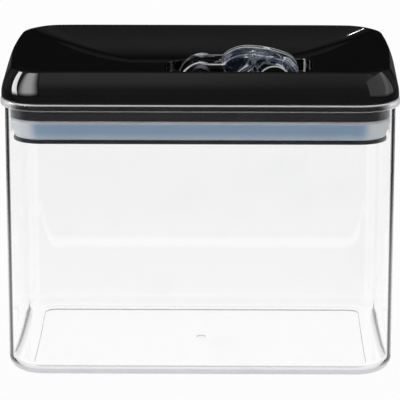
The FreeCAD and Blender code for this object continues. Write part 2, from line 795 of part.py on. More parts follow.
def coil_solid():
    """Round wire wound up a helix, as a pipe along biarcs of a quarter turn each."""
    wire = size(cell("spring_wire"))
    radius = (size(cell("spring_diameter")) - wire) / 2
    foot = size(f"{PLATE_TOP} + {cell('part_gap')} / 2") + wire / 2
    climb = size(f"{CUP_UNDER} - ({PLATE_TOP}) - {cell('part_gap')}") - wire
    quarters = round(4 * size(cell("spring_turns")))
    slope = climb / (quarters * math.pi / 2)
    points = []
    ways = []
    for quarter in range(quarters + 1):
        turn = quarter * math.pi / 2
        points.append(
            Vector(radius * math.cos(turn), radius * math.sin(turn), foot + slope * turn)
        )
        ways.append(
            Vector(-radius * math.sin(turn), radius * math.cos(turn), slope).normalize()
        )
    edges = []
    for quarter in range(quarters):
        edges += biarc(
            points[quarter], ways[quarter], points[quarter + 1], ways[quarter + 1]
        )
    path = Part.Wire(edges)
    section = Part.Wire(Part.makeCircle(wire / 2, points[0], ways[0]))
    heights = [point.z for point in points]
    gap = min(high - low for low, high in zip(heights, heights[4:])) - wire
    print(f"return_spring: least gap between its turns {gap:.2f} mm")
    return path.makePipeShell([section], True, False)


def make_return_spring():
    """Steel coil about the gland, from the cup's underside to the plate."""
    spring = doc.addObject("Part::Feature", "return_spring")
    spring.Shape = coil_solid()
    return spring


def make_sealing_washer():
    """Rubber washer between the plate and its screw's head."""
    bore = total("plate_screw_diameter", f"2 * {cell('running_fit')}")
    height = cell("washer_thickness")
    base = total(PLATE_UNDER, "-washer_thickness")
    return ring("sealing_washer", cell("washer_diameter"), bore, height, base)


def make_plate_screw():
    """Screw up through the plate into the rod."""
    seat = total(PLATE_UNDER, "-washer_thickness")
    shank = cylinder(
        "plate_screw_shank", cell("plate_screw_diameter"), cell("plate_screw_length"),
        ("0", "0", seat),
    )
    head = cylinder(
        "plate_screw_top", cell("plate_screw_head"), cell("plate_screw_head_height"),
        ("0", "0", total(seat, "-plate_screw_head_height")),
    )
    return fuse("plate_screw", [shank, head])


def make_screw_cap():
    """Shallow cap over the screw under the plate."""
    depth = total("washer_thickness", "plate_screw_head_height", "cap_gap")
    base = f"{PLATE_UNDER} - ({depth}) - {cell('cap_wall')}"
    outer = cylinder(
        "screw_cap_outside", cell("cap_diameter"), f"{depth} + {cell('cap_wall')}", ("0", "0", base)
    )
    inner = cylinder(
        "screw_cap_inside",
        total("cap_diameter", f"-2 * {cell('cap_wall')}"),
        depth,
        ("0", "0", f"{PLATE_UNDER} - ({depth})"),
    )
    return cut("screw_cap", outer, inner)


def make_cover_screws():
    """Four screws up through the tray's web into the cover's bosses."""
    screws = []
    seat = size(WEB_UNDER)
    head = size(cell("cover_screw_head_height"))
    for x, y in COVER_SCREWS:
        foot = Vector(size(x), size(y), seat)
        length = size(cell("cover_screw_length"))
        shank = Part.makeCylinder(size(cell("cover_screw_diameter")) / 2, length, foot)
        top = Part.makeCylinder(size(cell("cover_screw_head")) / 2, head, foot - Vector(0, 0, head))
        screws.append(shank.fuse(top).removeSplitter())
    group = doc.addObject("Part::Feature", "cover_screws")
    group.Shape = Part.makeCompound(screws)
    return group


def write_parts(parts):
    """Check every object and write one file for each sub-part."""
    doc.recompute()
    for item in doc.Objects:
        if "Invalid" in item.State or "Error" in item.State:
            raise RuntimeError(f"{item.Name} failed: {item.State}")
    os.makedirs("parts", exist_ok=True)
    for part in parts:
        if part.Shape.isNull() or not part.Shape.isValid():
            raise RuntimeError(f"{part.Label} has no valid shape")
        box = part.Shape.BoundBox
        print(f"{part.Label}: {len(part.Shape.Solids)} solid, {part.Shape.Volume:.1f} mm3, "
              f"x {box.XMin:.2f} {box.XMax:.2f} y {box.YMin:.2f} {box.YMax:.2f} "
              f"z {box.ZMin:.2f} {box.ZMax:.2f}")
        part.Shape.exportStep(f"parts/{part.Label}.step")


write_parts([
    make_container_body(),
    make_lid_cover(),
    make_plug_frame(),
    make_seal_gasket(),
    make_pressure_plate(),
    make_lever(),
    make_pivot_pin(),
    make_pull_rod(),
    make_rod_o_ring(),
    make_gland_ring(),
    make_return_spring(),
    make_sealing_washer(),
    make_plate_screw(),
    make_screw_cap(),
    make_cover_screws(),
])
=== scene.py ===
"""Pantry container: clear box, dished black lid, silicone seal and clear cam lever."""

import logging
import math
from dataclasses import dataclass
from enum import Enum, IntEnum
from typing import Any, Optional, Sequence, Union

import bpy
import numpy as np
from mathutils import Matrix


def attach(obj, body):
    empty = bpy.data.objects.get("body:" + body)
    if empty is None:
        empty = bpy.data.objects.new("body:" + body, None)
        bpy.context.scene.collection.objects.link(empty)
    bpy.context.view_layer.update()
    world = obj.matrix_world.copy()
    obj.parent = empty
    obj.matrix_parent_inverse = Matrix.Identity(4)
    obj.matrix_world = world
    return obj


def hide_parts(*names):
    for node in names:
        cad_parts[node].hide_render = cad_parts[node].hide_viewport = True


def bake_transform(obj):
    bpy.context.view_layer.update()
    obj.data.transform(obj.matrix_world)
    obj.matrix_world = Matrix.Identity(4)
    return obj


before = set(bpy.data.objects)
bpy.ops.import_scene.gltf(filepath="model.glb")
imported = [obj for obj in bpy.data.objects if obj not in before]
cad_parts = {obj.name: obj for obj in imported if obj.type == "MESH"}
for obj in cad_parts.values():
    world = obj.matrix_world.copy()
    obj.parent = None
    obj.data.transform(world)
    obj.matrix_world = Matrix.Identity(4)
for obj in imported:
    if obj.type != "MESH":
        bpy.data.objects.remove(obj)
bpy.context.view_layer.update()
LOG = logging.getLogger("pantry_container")
MM = 0.001
QUARTER = math.pi / 2
Number = Union[int, float]
Colour = tuple[float, float, float]
# Points and normals of a grid
Grid = tuple[np.ndarray, np.ndarray]
WHITE: Colour = (1.0, 1.0, 1.0)


class Slot(Enum):
    """Material slots of the record."""

    CLEAR_PLASTIC = "clear_plastic"
    BLACK_GLOSS = "black_gloss"
    SILICONE = "silicone"
    STEEL = "steel"


class Mark(Enum):
    """Numbers that a piece's points carry for its finish: shares of painted highlight, of painted corner
    light or shade, and of height.
    """

    EDGE = "edge"
    CORNER = "corner"
    RISE = "rise"


class Ray(Enum):
    """What a material can ask about the ray that meets it."""

    CAMERA = "Is Camera Ray"
    GLOSSY = "Is Glossy Ray"
    THROUGH = "Is Transmission Ray"
    DIFFUSE = "Is Diffuse Ray"
    SCATTERS = "Diffuse Depth"


class End(Enum):
    """How the first or last ring of a skin is closed."""

    OPEN = "open"
    POLE = "pole"


class BoxCorner(IntEnum):
    """Corners of the box's section, walked from the foot's middle over the lip to the floor's."""

    FOOT_MIDDLE = 0
    FOOT_STEP = 1
    FOOT_RIM = 2
    BASE = 3
    LIP_ROOT = 4
    LIP_LOW = 5
    LIP_TOP = 6
    MOUTH = 7
    FLOOR = 8
    FLOOR_MIDDLE = 9


class Wire:
    """One output of a node tree that takes part in Python arithmetic."""

    def __init__(self, sheet: "NodeSheet", socket: bpy.types.NodeSocket) -> None:
        """Keep the tree's sheet and the output socket."""
        self.sheet = sheet
        self.socket = socket

    def _math(self, operation: str, first: Any, second: Any) -> "Wire":
        """Add one Math node for an operation on two values."""
        return self.sheet.make("ShaderNodeMath", {"operation": operation}, {0: first, 1: second})

    def __add__(self, other: Any) -> "Wire":
        """Sum."""
        return self._math("ADD", self, other)

    __radd__ = __add__

    def __mul__(self, other: Any) -> "Wire":
        """Product."""
        return self._math("MULTIPLY", self, other)

    __rmul__ = __mul__

    def __sub__(self, other: Any) -> "Wire":
        """Difference."""
        return self._math("SUBTRACT", self, other)

    def __rsub__(self, other: Any) -> "Wire":
        """Difference from a number on the left."""
        return self._math("SUBTRACT", other, self)

    def __pow__(self, other: Any) -> "Wire":
        """Power."""
        return self._math("POWER", self, other)

    def size(self) -> "Wire":
        """Absolute value."""
        return self.sheet.make("ShaderNodeMath", {"operation": "ABSOLUTE"}, {0: self})

    def ease(self, low: Number, high: Number) -> "Wire":
        """Smooth step.

        Args:
            low: Value at which the step is 0; it may be the larger one.
            high: Value at which the step is 1.

        Returns:
            The step, 0 to 1.
        """
        if low > high:
            return 1.0 - self.ease(high, low)
        settings = {"interpolation_type": "SMOOTHSTEP"}
        return self.sheet.make("ShaderNodeMapRange", settings, {0: self, 1: low, 2: high})

    def band(self, start: Number, full: Number, fade: Number, end: Number) -> "Wire":
        """1 from full to fade, and 0 before start and after end."""
        return self.ease(start, full) * self.ease(end, fade)


class NodeSheet:
    """A node tree that is filled from Python expressions."""

    def __init__(self, tree: bpy.types.NodeTree) -> None:
        """Empty the tree."""
        self.tree = tree
        tree.nodes.clear()

    def make(
        self,
        kind: str,
        settings: Optional[dict[str, Any]] = None,
        sockets: Optional[dict[Union[int, str], Any]] = None,
        output: Union[int, str] = 0,
    ) -> Wire:
        """Add a node of any type.

        Args:
            kind: The node's type name.
            settings: Properties that are set first.
            sockets: Values or wires of its inputs, by index or name.
            output: Index or name of the output that is wanted.

        Returns:
            The wanted output as a wire, or the first input of a node without outputs.
        """
        node = self.tree.nodes.new(kind)
        for name, value in (settings or {}).items():
            setattr(node, name, value)
        for name, value in (sockets or {}).items():
            if isinstance(value, Wire):
                self.tree.links.new(value.socket, node.inputs[name])
            else:
                node.inputs[name].default_value = value
        return Wire(self, node.outputs[output] if node.outputs else node.inputs[0])

    def place(self) -> Wire:
        """Object coordinates."""
        return self.make("ShaderNodeTexCoord", output="Object")

    def axes(self, vector: Wire) -> tuple[Wire, ...]:
        """X, Y and Z of a vector."""
        return tuple(self.make("ShaderNodeSeparateXYZ", {}, {0: vector}, axis) for axis in "XYZ")

    def mark(self, mark: Mark) -> Wire:
        """Number that the piece's points carry."""
        return self.make("ShaderNodeAttribute", {"attribute_name": mark.value}, output="Fac")

    def ray(self, ray: Ray) -> Wire:
        """What is known of the ray that meets the surface."""
        return self.make("ShaderNodeLightPath", output=ray.value)

    def noise(self, scale: Number, detail: Number, stretch: Sequence[Number] = (1, 1, 1)) -> Wire:
        """Noise in object space.

        Args:
            scale: Waves per metre.
            detail: Finer layers that are added.
            stretch: Factor on the scale for each axis.

        Returns:
            The noise, 0 to 1.
        """
        spot = self.make("ShaderNodeMapping", {}, {"Vector": self.place(), "Scale": tuple(stretch)})
        sockets = {"Vector": spot, "Scale": scale, "Detail": detail, "Roughness": 0.55}
        return self.make("ShaderNodeTexNoise", {"noise_dimensions": "3D"}, sockets, "Fac")

    def mix(self, mask: Wire, first: Union[Wire, Colour], second: Colour) -> Wire:
        """Colour that goes over to another under a mask.

        Args:
            mask: Share of the second colour.
            first: Colour, or wire of a colour, where the mask is 0.
            second: Colour where it is 1.

        Returns:
            The mixed colour.
        """
        start = first if isinstance(first, Wire) else rgba(first)
        sockets = {"Factor": mask, 6: start, 7: rgba(second)}
        return self.make("ShaderNodeMix", {"data_type": "RGBA"}, sockets, 2)

    def bump(self, height: Wire, distance: Number) -> Wire:
        """Normal tilted by a height field whose full range is a distance in metres."""
        return self.make("ShaderNodeBump", {}, {"Height": height, "Distance": distance, "Strength": 1.0})

    def principled(self, sockets: dict[str, Any]) -> Wire:
        """Principled shader with some of its sockets set."""
        return self.make("ShaderNodeBsdfPrincipled", {}, sockets)

    def glow(self, strength: Wire) -> Wire:
        """White light of a strength."""
        return self.make("ShaderNodeEmission", {}, {"Color": rgba(WHITE), "Strength": strength})

    def cover(self, mask: Wire, below: Wire, above: Wire) -> Wire:
        """Shader that a second one covers under a mask."""
        return self.make("ShaderNodeMixShader", {}, {0: mask, 1: below, 2: above})

    def output(self, **shaders: Wire) -> None:
        """Connect the material's Surface and, if given, its Volume."""
        self.make("ShaderNodeOutputMaterial", {}, shaders)


def rgba(colour: Colour) -> tuple[float, float, float, float]:
    """Linear colour with full opacity."""
    return (float(colour[0]), float(colour[1]), float(colour[2]), 1.0)


def new_material(name: str) -> tuple[bpy.types.Material, NodeSheet]:
    """Start a node material.

    Args:
        name: Material name.

    Returns:
        The empty material and the sheet of its nodes.
    """
    material = bpy.data.materials.new(name)
    material.use_nodes = True
    return material, NodeSheet(material.node_tree)


@dataclass(frozen=True)
class ClearPlastic:
    """Clear moulded plastic: mould waves, scuffs, painted highlights on marked edges and painted dark
    shade on corners seen along their wall.

    Attributes:
        name: Material name.
        ior: Refractive index.
        polish: Roughness of a clean spot.
        scuff: Extra roughness of a handled spot.
        wave: Height of the slow mould waves in metres.
        absorb: Colour that the body lets through.
        density: Absorption per metre.
        clean: Colour of a clean spot.
        handled: Colour of a handled spot.
        painted_edge_light: Painted highlight colour of a marked edge.
        painted_edge_light_worn: Painted highlight colour of a marked edge at a handled spot.
        thick: Painted dark shade of a corner that is seen along its wall.
        thick_streak: Colour of the streaks in that painted shade.
        darken: Facing values between which a corner turns dark.
        clear: Facing values between which it clears again, the later one first.
    """

    name: str
    ior: float
    polish: float
    scuff: float
    wave: float
    absorb: Colour
    density: float
    clean: Colour = WHITE
    handled: Colour = (0.985, 0.985, 0.99)
    painted_edge_light: Colour = (0.86, 0.85, 0.89)
    painted_edge_light_worn: Colour = (0.80, 0.80, 0.84)
    thick: Colour = (0.02, 0.02, 0.022)
    thick_streak: Colour = (0.035, 0.034, 0.037)
    darken: tuple[float, float] = (0.53, 0.63)
    clear: tuple[float, float] = (0.88, 0.72)

    def material(self) -> bpy.types.Material:
        """Build the node material.

        Returns:
            Clear shader, covered by painted dark shade at marked corners and by a painted edge highlight
            at marked edges.
        """
        material, sheet = new_material(self.name)
        handled = sheet.noise(scale=38.0, detail=4.0).ease(0.52, 0.75)
        hairs = sheet.noise(scale=420.0, detail=2.0, stretch=(1.0, 1.0, 0.06)).ease(0.66, 0.78)
        waves = sheet.noise(scale=22.0, detail=1.0, stretch=(1.0, 1.0, 0.35))
        clear = sheet.principled({
            "Base Color": sheet.mix(handled, self.clean, self.handled),
            "Roughness": self.polish + self.scuff * (handled + 0.6 * hairs),
            "IOR": self.ior,
            "Transmission Weight": 1.0,
            "Normal": sheet.bump(waves, self.wave),
        })
        # Painted edge highlight: opaque near-white gloss that stands in for light carried along the wall
        # to its edges.
        painted_edge_light = sheet.principled({
            "Base Color": sheet.mix(handled, self.painted_edge_light, self.painted_edge_light_worn),
            "Roughness": 0.3 + 0.1 * hairs,
            "IOR": self.ior,
        })
        # Painted dark shade: opaque near-black gloss that stands in for the dark surroundings seen through
        # a corner.
        painted_dark_shade = sheet.principled({
            "Base Color": sheet.mix(waves, self.thick, self.thick_streak),
            "Roughness": 0.12 + 0.1 * hairs,
            "IOR": self.ior,
        })
        facing = sheet.make("ShaderNodeLayerWeight", {}, {"Blend": 0.5}, "Facing")
        # Share of the painted dark shade: marked corners seen at a slant.
        along_wall = sheet.mark(Mark.CORNER) * facing.ease(*self.darken) * facing.ease(*self.clear)
        outside = 1.0 - sheet.make("ShaderNodeNewGeometry", output="Backfacing")
        surface = sheet.cover(along_wall, clear, painted_dark_shade)
        # Painted edge highlight on the outside of the marked edges.
        surface = sheet.cover(sheet.mark(Mark.EDGE) * outside, surface, painted_edge_light)
        absorb = {"Color": rgba(self.absorb), "Density": self.density}
        sheet.output(Surface=surface, Volume=sheet.make("ShaderNodeVolumeAbsorption", {}, absorb))
        return material


@dataclass(frozen=True)
class CrystalPlastic:
    """Clear plastic over a ribbed hollow, with painted shade inside and painted highlight lines and glints
    on its edges, arch and bent seams.

    Attributes:
        name: Material name.
        ior: Refractive index.
        facet: Facets per metre, whose cells bump the surface and carry painted glints.
        bend: How far the facets' seams swirl, in metres.
        start: X in metres from which the grip is hollow.
        tip: X in metres between which painted glints brighten towards the grip's tip.
        half: Half width of the lever in metres.
        arch: X, Z and radius of the finger arch in metres.
        glass: Colour of the clear parts.
        shade: Painted shade colour that tints the glass in parts of the hollow.
        deep: Dim colour of the painted glints.
        pale: Bright colour of the painted glints and highlight lines.
    """

    name: str
    ior: float
    facet: float
    bend: float
    start: float
    tip: tuple[float, float]
    half: float
    arch: tuple[float, float, float]
    glass: Colour
    shade: Colour
    deep: Colour
    pale: Colour

    def painted_edge_lines(self, x: Wire, y: Wire, grip: Wire) -> Wire:
        """Painted highlight lines along the front edge, the back edge and the crest.

        Args:
            x: Place along the lever.
            y: Place across it, towards the back.
            grip: Share of the grip, 0 on the hub.

        Returns:
            Brightness of the lines.
        """
        half = self.half
        front = (0.0 - y).band(half - 0.0010, half - 0.0007, half - 0.0004, half - 0.0001)
        back = y.band(half - 0.0029, half - 0.0022, half - 0.0004, half - 0.0001)
        crest = y.band(0.0052, 0.006, 0.007, 0.0078)
        past_hub = x.ease(0.004, 0.009)
        return front * (0.7 - 0.45 * grip) + back * (0.5 + 0.45 * past_hub) + crest * grip * 0.9

    def painted_arch_line(self, x: Wire, y: Wire, z: Wire) -> Wire:
        """Painted highlight line round the finger arch on both side faces.

        Args:
            x: Place along the lever.
            y: Place across it.
            z: Height.

        Returns:
            Brightness of the line.
        """
        middle_x, middle_z, radius = self.arch
        across, up = x - middle_x, z - middle_z
        ring = (across * across + up * up) ** 0.5
        side_face = y.size().ease(self.half - 0.0005, self.half - 0.0001)
        return ring.ease(radius + 0.0011, radius + 0.0006) * side_face

    def material(self) -> bpy.types.Material:
        """Build the node material.

        Returns:
            Clear shader with painted shade in the hollow, covered by a painted glint shader at the edges,
            the arch and the hollow's bent seams.
        """
        material, sheet = new_material(self.name)
        place = sheet.place()
        x, y, z = sheet.axes(place)
        grip = x.ease(self.start, self.start + 0.004)
        edge, arch = self.painted_edge_lines(x, y, grip), self.painted_arch_line(x, y, z)
        waves = {"Vector": place, "Scale": 70.0, "Detail": 1.0}
        swirl = sheet.make("ShaderNodeTexNoise", {}, waves, "Color")
        moved = {0: swirl, 1: (self.bend, self.bend, self.bend), 2: place}
        bent = sheet.make("ShaderNodeVectorMath", {"operation": "MULTIPLY_ADD"}, moved)
        cells = {"Vector": bent, "Scale": self.facet, "Randomness": 1.0}
        seam, cell = (
            sheet.make("ShaderNodeTexVoronoi", {"feature": feature}, cells, "Distance")
            for feature in ("DISTANCE_TO_EDGE", "F1")
        )
        # Seam lines and patches of the bent cells, where glints are painted.
        line = seam.ease(0.045, 0.012)
        patch = sheet.noise(scale=self.facet * 1.3, detail=2.0).ease(0.5, 0.62)
        # Painted shade: patches in the grip where the glass is tinted dark.
        shaded = sheet.noise(scale=self.facet, detail=1.0).ease(0.68, 0.5) * grip
        # Painted glints brighten near the grip's start and towards its tip.
        ends = x.ease(self.start + 0.009, self.start + 0.002) + x.ease(*self.tip)
        painted_glints = 0.02 + 0.95 * line * (0.2 + 0.8 * patch) + patch * (0.1 + 0.6 * ends)
        clear = sheet.principled({
            "Base Color": sheet.mix(shaded, self.glass, self.shade),
            "Roughness": 0.004 + 0.015 * patch,
            "IOR": self.ior,
            "Transmission Weight": 1.0,
            "Normal": sheet.bump(grip * cell, 0.0005),
        })
        # Painted glint shader: opaque gloss from dim blue to white for the highlight lines and glints.
        facet = sheet.principled({
            "Base Color": sheet.mix((edge + arch) * 3.0 + line + patch * 0.6, self.deep, self.pale),
            "Roughness": 0.2 + 0.1 * patch,
        })
        # The painted glints and highlight lines cover the clear shader.
        sheet.output(Surface=sheet.cover(grip * painted_glints + (edge + 0.9 * arch), clear, facet))
        return material


@dataclass(frozen=True)
class BlackPlastic:
    """Black moulded plastic or rubber from high gloss to matte, with dust, haze and grain.

    Attributes:
        name: Material name.
        colour: Body colour.
        dust: Colour of dusty spots.
        gloss: Roughness of a clean spot.
        haze: Extra roughness of a hazy spot.
        grain: Height of the surface grain in metres.
        grain_scale: Grains per metre.
        sheen: Strength of the surface reflection, 0.5 for plain plastic.
        ior: Refractive index.
    """

    name: str
    colour: Colour
    dust: Colour
    gloss: float
    haze: float
    grain: float
    grain_scale: float
    sheen: float = 0.5
    ior: float = 1.49

    def material(self) -> bpy.types.Material:
        """Build the node material.

        Returns:
            Black shader with clouds of haze and specks of dust.
        """
        material, sheet = new_material(self.name)
        cloud = sheet.noise(scale=30.0, detail=5.0)
        specks = sheet.noise(scale=900.0, detail=2.0).ease(0.70, 0.82)
        dusty = cloud.ease(0.45, 0.8) * 0.5 + specks * 0.5
        sheet.output(Surface=sheet.principled({
            "Base Color": sheet.mix(dusty, self.colour, self.dust),
            "Roughness": self.gloss + self.haze * cloud,
            "IOR": self.ior,
            "Specular IOR Level": self.sheen,
            "Normal": sheet.bump(sheet.noise(scale=self.grain_scale, detail=2.0), self.grain),
        }))
        return material


@dataclass(frozen=True)
class MilkySilicone:
    """Milky translucent silicone: blue-grey over the black core, with painted light round the corners and
    painted highlights on the rolled edges.

    Attributes:
        name: Material name.
        band: Colour along the straight sides.
        mottled: Colour of the darker mottles there.
        pale: Painted light at the corners, where light comes through.
        edge: Painted highlight colour of the rolled upper and lower edges.
        ior: Refractive index.
    """

    name: str
    band: Colour
    mottled: Colour
    pale: Colour
    edge: Colour
    ior: float = 1.41

    def material(self) -> bpy.types.Material:
        """Build the node material.

        Returns:
            Soft shader whose colour takes painted highlights by the marked height and painted light by the
            corner share.
        """
        material, sheet = new_material(self.name)
        rise = sheet.mark(Mark.RISE)
        # Painted highlights along the lower and upper edges of the band.
        edges = rise.ease(0.45, 0.0) * 0.5 + rise.ease(0.8, 0.95)
        mottle = sheet.noise(scale=60.0, detail=4.0)
        face = sheet.mix(edges, sheet.mix(mottle, self.band, self.mottled), self.edge)
        sheet.output(Surface=sheet.principled({
            # Painted light at the corners.
            "Base Color": sheet.mix(sheet.mark(Mark.CORNER), face, self.pale),
            "Roughness": 0.34 + 0.2 * mottle,
            "IOR": self.ior,
            "Subsurface Weight": 0.25,
            "Subsurface Scale": 0.002,
            "Normal": sheet.bump(sheet.noise(scale=700.0, detail=2.0), 0.00002),
        }))
        return material


@dataclass(frozen=True)
class DrawnSteel:
    """Bright drawn steel with fine lines along one axis.

    Attributes:
        name: Material name.
        lines: Stretch of the lines per axis.
        bright: Colour of a clean spot.
        stained: Colour of a stained spot.
    """

    name: str
    lines: tuple[float, float, float]
    bright: Colour = (0.62, 0.62, 0.63)
    stained: Colour = (0.48, 0.47, 0.46)

    def material(self) -> bpy.types.Material:
        """Build the node material.

        Returns:
            Metal shader with drawn lines and faint stains.
        """
        material, sheet = new_material(self.name)
        lines = sheet.noise(scale=900.0, detail=3.0, stretch=self.lines)
        stain = sheet.noise(scale=120.0, detail=3.0)
        sheet.output(Surface=sheet.principled({
            "Base Color": sheet.mix(stain, self.bright, self.stained),
            "Metallic": 1.0,
            "Roughness": 0.2 + 0.2 * lines,
            "Normal": sheet.bump(lines, 0.00001),
        }))
        return material


@dataclass(frozen=True)
class Outline:
    """Rounded rectangle in plan, in millimetres.

    Attributes:
        half_x: Half width.
        half_y: Half depth.
        corner: Corner radius.
        shift: Move along X.
    """

    half_x: float
    half_y: float
    corner: float
    shift: float = 0.0

    def ring(self, walk: "Walk", out: Union[float, np.ndarray] = 0.0) -> np.ndarray:
        """Points of the outline moved outwards.

        The corner centres carry the corner's circle: a point is the walk's corner weight times the
        inner rectangle, plus the radius and the move along the walk's outward direction.

        Args:
            walk: Steps round the outline.
            out: One move, or one for each of several rings.

        Returns:
            Plan points of shape (rings, steps, 2).
        """
        out = np.atleast_1d(np.asarray(out, float))[:, None, None]
        inner = np.array([self.half_x - self.corner, self.half_y - self.corner])
        points = walk.weight * inner + (self.corner + out) * walk.way
        return points + np.array([self.shift, 0.0])


class Walk:
    """Steps once round a rounded rectangle, anticlockwise from the back end of the right side.

    Each quarter goes round a corner, whose direction turns evenly, and then along a side, whose
    weight goes evenly from one corner's signs to the next one's.
    """

    def __init__(self, corner_steps: int, long_steps: int, short_steps: int) -> None:
        """Lay out the steps.

        Args:
            corner_steps: Steps round each corner.
            long_steps: Steps along each long side.
            short_steps: Steps along each short side.
        """
        weights, turns = [], []
        signs = np.array([(1, 1), (-1, 1), (-1, -1), (1, -1)], float)
        arc = np.linspace(0, 1, corner_steps, endpoint=False)
        for quarter in range(4):
            here, there = signs[quarter], signs[(quarter + 1) % 4]
            side_steps = (long_steps, short_steps)[quarter % 2]
            side = np.linspace(0, 1, side_steps, endpoint=False)[:, None]
            weights += [np.repeat(here[None], corner_steps, 0), here + (there - here) * side]
            turns += [(quarter + arc) * QUARTER, np.full(side_steps, (quarter + 1) * QUARTER)]
        turn = np.concatenate(turns)
        self.weight = np.concatenate(weights)
        self.way = np.stack([np.cos(turn), np.sin(turn)], -1)
        self.steps = len(turn)


def rounded_section(
    corners: Sequence[Sequence[float]], radii: Sequence[float], closed: bool, steps: int
) -> tuple[np.ndarray, np.ndarray, np.ndarray]:
    """Section whose corners are replaced by arcs.

    At each corner the direction turns evenly from one side to the next, and the arc's point is its
    start plus the radius times the change of the outward direction (right of the way walked).

    Args:
        corners: Corner points (out, up), walked with the material on the left.
        radii: Arc radius of each corner.
        closed: Whether the last corner joins the first.
        steps: Steps of each arc.

    Returns:
        Points and outward normals, each of shape (count, 2), and each point's corner number.
    """
    spots = np.asarray(corners, float)
    sides = np.roll(spots, -1, 0) - spots
    turn_out = np.arctan2(sides[:, 1], sides[:, 0])
    turn_in = np.roll(turn_out, 1)
    bend = (turn_out - turn_in + math.pi) % (2 * math.pi) - math.pi
    if not closed:
        bend[0] = bend[-1] = 0.0
        turn_in[0] = turn_out[0]
        turn_out[-1] = turn_in[-1]
    radius = np.asarray(radii, float)
    way_in = np.stack([np.cos(turn_in), np.sin(turn_in)], -1)
    start = spots - way_in * (radius * np.abs(np.tan(bend / 2)))[:, None]
    angle = turn_in[:, None] + bend[:, None] * np.linspace(0, 1, steps + 1)
    normal = np.stack([np.sin(angle), -np.cos(angle)], -1)
    points = start[:, None] + (np.sign(bend) * radius)[:, None, None] * (normal - normal[:, :1])
    keep = np.ones(angle.shape, bool)
    keep[np.abs(bend) < 1e-9, 1:] = False
    owner = np.broadcast_to(np.arange(len(spots))[:, None], keep.shape)
    return points[keep], normal[keep], owner[keep]


def sweep(
    outline: Outline, walk: Walk, section: Sequence[Sequence[float]], facing: Sequence[Sequence[float]]
) -> Grid:
    """Section carried round an outline.

    A grid point is the outline moved outwards by the section's first value, at its second value as
    height; its normal leans the outline's outward direction by the section's normal.

    Args:
        outline: Rounded rectangle that carries the section.
        walk: Steps round it.
        section: Section points (out, up) in millimetres.
        facing: Section normals.

    Returns:
        Points and normals of shape (section points, walk steps, 3).
    """
    section, facing = np.asarray(section, float), np.asarray(facing, float)
    plan = outline.ring(walk, section[:, 0])
    height = np.broadcast_to(section[:, 1, None, None], plan.shape[:2] + (1,))
    lean = facing[:, 0, None, None] * walk.way
    up = np.broadcast_to(facing[:, 1, None, None], lean.shape[:2] + (1,))
    return np.concatenate([plan, height], -1), np.concatenate([lean, up], -1)


def disc_rows(walk: Walk, radius: Sequence[float], height: Sequence[float]) -> np.ndarray:
    """Round rows about the middle: each radius times an even circle, at its height.

    Args:
        walk: Steps, spread evenly round the circle.
        radius: Radius of each row in millimetres.
        height: Height of each row.

    Returns:
        Points of shape (rows, steps, 3).
    """
    turn = np.linspace(0, 2 * math.pi, walk.steps, endpoint=False)
    circle = np.stack([np.cos(turn), np.sin(turn)], -1)
    plan = np.asarray(radius, float)[:, None, None] * circle
    up = np.broadcast_to(np.asarray(height, float)[:, None, None], plan.shape[:2] + (1,))
    return np.concatenate([plan, up], -1)


def skin_object(
    name: str,
    points: np.ndarray,
    normals: np.ndarray,
    rows_join: bool = False,
    ends: tuple[End, End] = (End.OPEN, End.OPEN),
) -> bpy.types.Object:
    """Mesh object of a grid that closes round its second parameter.

    Neighbouring rows and steps span a quad. A pole is the mean of its row, joined to it by a fan.
    Where the volume under all faces comes out negative, they are turned round.

    Args:
        name: Object name.
        points: Grid points in millimetres, shape (rows, steps, 3).
        normals: Outward normals of the same shape.
        rows_join: Whether the last row joins the first.
        ends: How the first and last rows are closed.

    Returns:
        The object, at the origin and linked to the scene.
    """
    rows, steps = points.shape[:2]
    index = np.arange(rows * steps).reshape(rows, steps)
    near = index if rows_join else index[:-1]
    far = np.roll(index, -1, 0) if rows_join else index[1:]
    quads = np.stack([near, np.roll(near, -1, 1), np.roll(far, -1, 1), far], -1).reshape(-1, 4)
    spots, facing, fans = points.reshape(-1, 3), normals.reshape(-1, 3), []
    for end, row in zip(ends, (0, rows - 1)):
        if end is End.POLE:
            pole = np.full(steps, len(spots))
            ring = np.roll(index[row], -1), index[row]
            fans.append(np.stack([*(ring if row == 0 else ring[::-1]), pole], -1))
            spots = np.vstack([spots, points[row].mean(0)])
            facing = np.vstack([facing, normals[row].mean(0)])
    triangles = np.concatenate([quads[:, :3], quads[:, [0, 2, 3]], *fans])
    a, b, c = (spots[triangles[:, k]] for k in range(3))
    if np.einsum("ij,ij->i", a, np.cross(b, c)).sum() < 0:
        quads = quads[:, ::-1]
        fans = [fan[:, ::-1] for fan in fans]
    corners = np.concatenate([quads.ravel(), *(fan.ravel() for fan in fans)])
    counts = np.concatenate([np.full(len(quads), 4), *(np.full(len(fan), 3) for fan in fans)])
    mesh = bpy.data.meshes.new(name)
    mesh.vertices.add(len(spots))
    mesh.vertices.foreach_set("co", (spots * MM).ravel())
    mesh.loops.add(len(corners))
    mesh.loops.foreach_set("vertex_index", corners)
    mesh.polygons.add(len(counts))
    mesh.polygons.foreach_set("loop_start", np.cumsum(counts) - counts)
    mesh.polygons.foreach_set("use_smooth", np.ones(len(counts), bool))
    mesh.update(calc_edges=True)
    mesh.validate()
    facing = facing / np.linalg.norm(facing, axis=1, keepdims=True)
    mesh.normals_split_custom_set_from_vertices(facing)
    thing = bpy.data.objects.new(name, mesh)
    bpy.context.scene.collection.objects.link(thing)
    return thing


def ramp(values: np.ndarray, start: float, width: float) -> np.ndarray:
    """Straight ramp over values: 0 up to a start, 1 from a width beyond it."""
    return np.clip((values - start) / width, 0, 1)


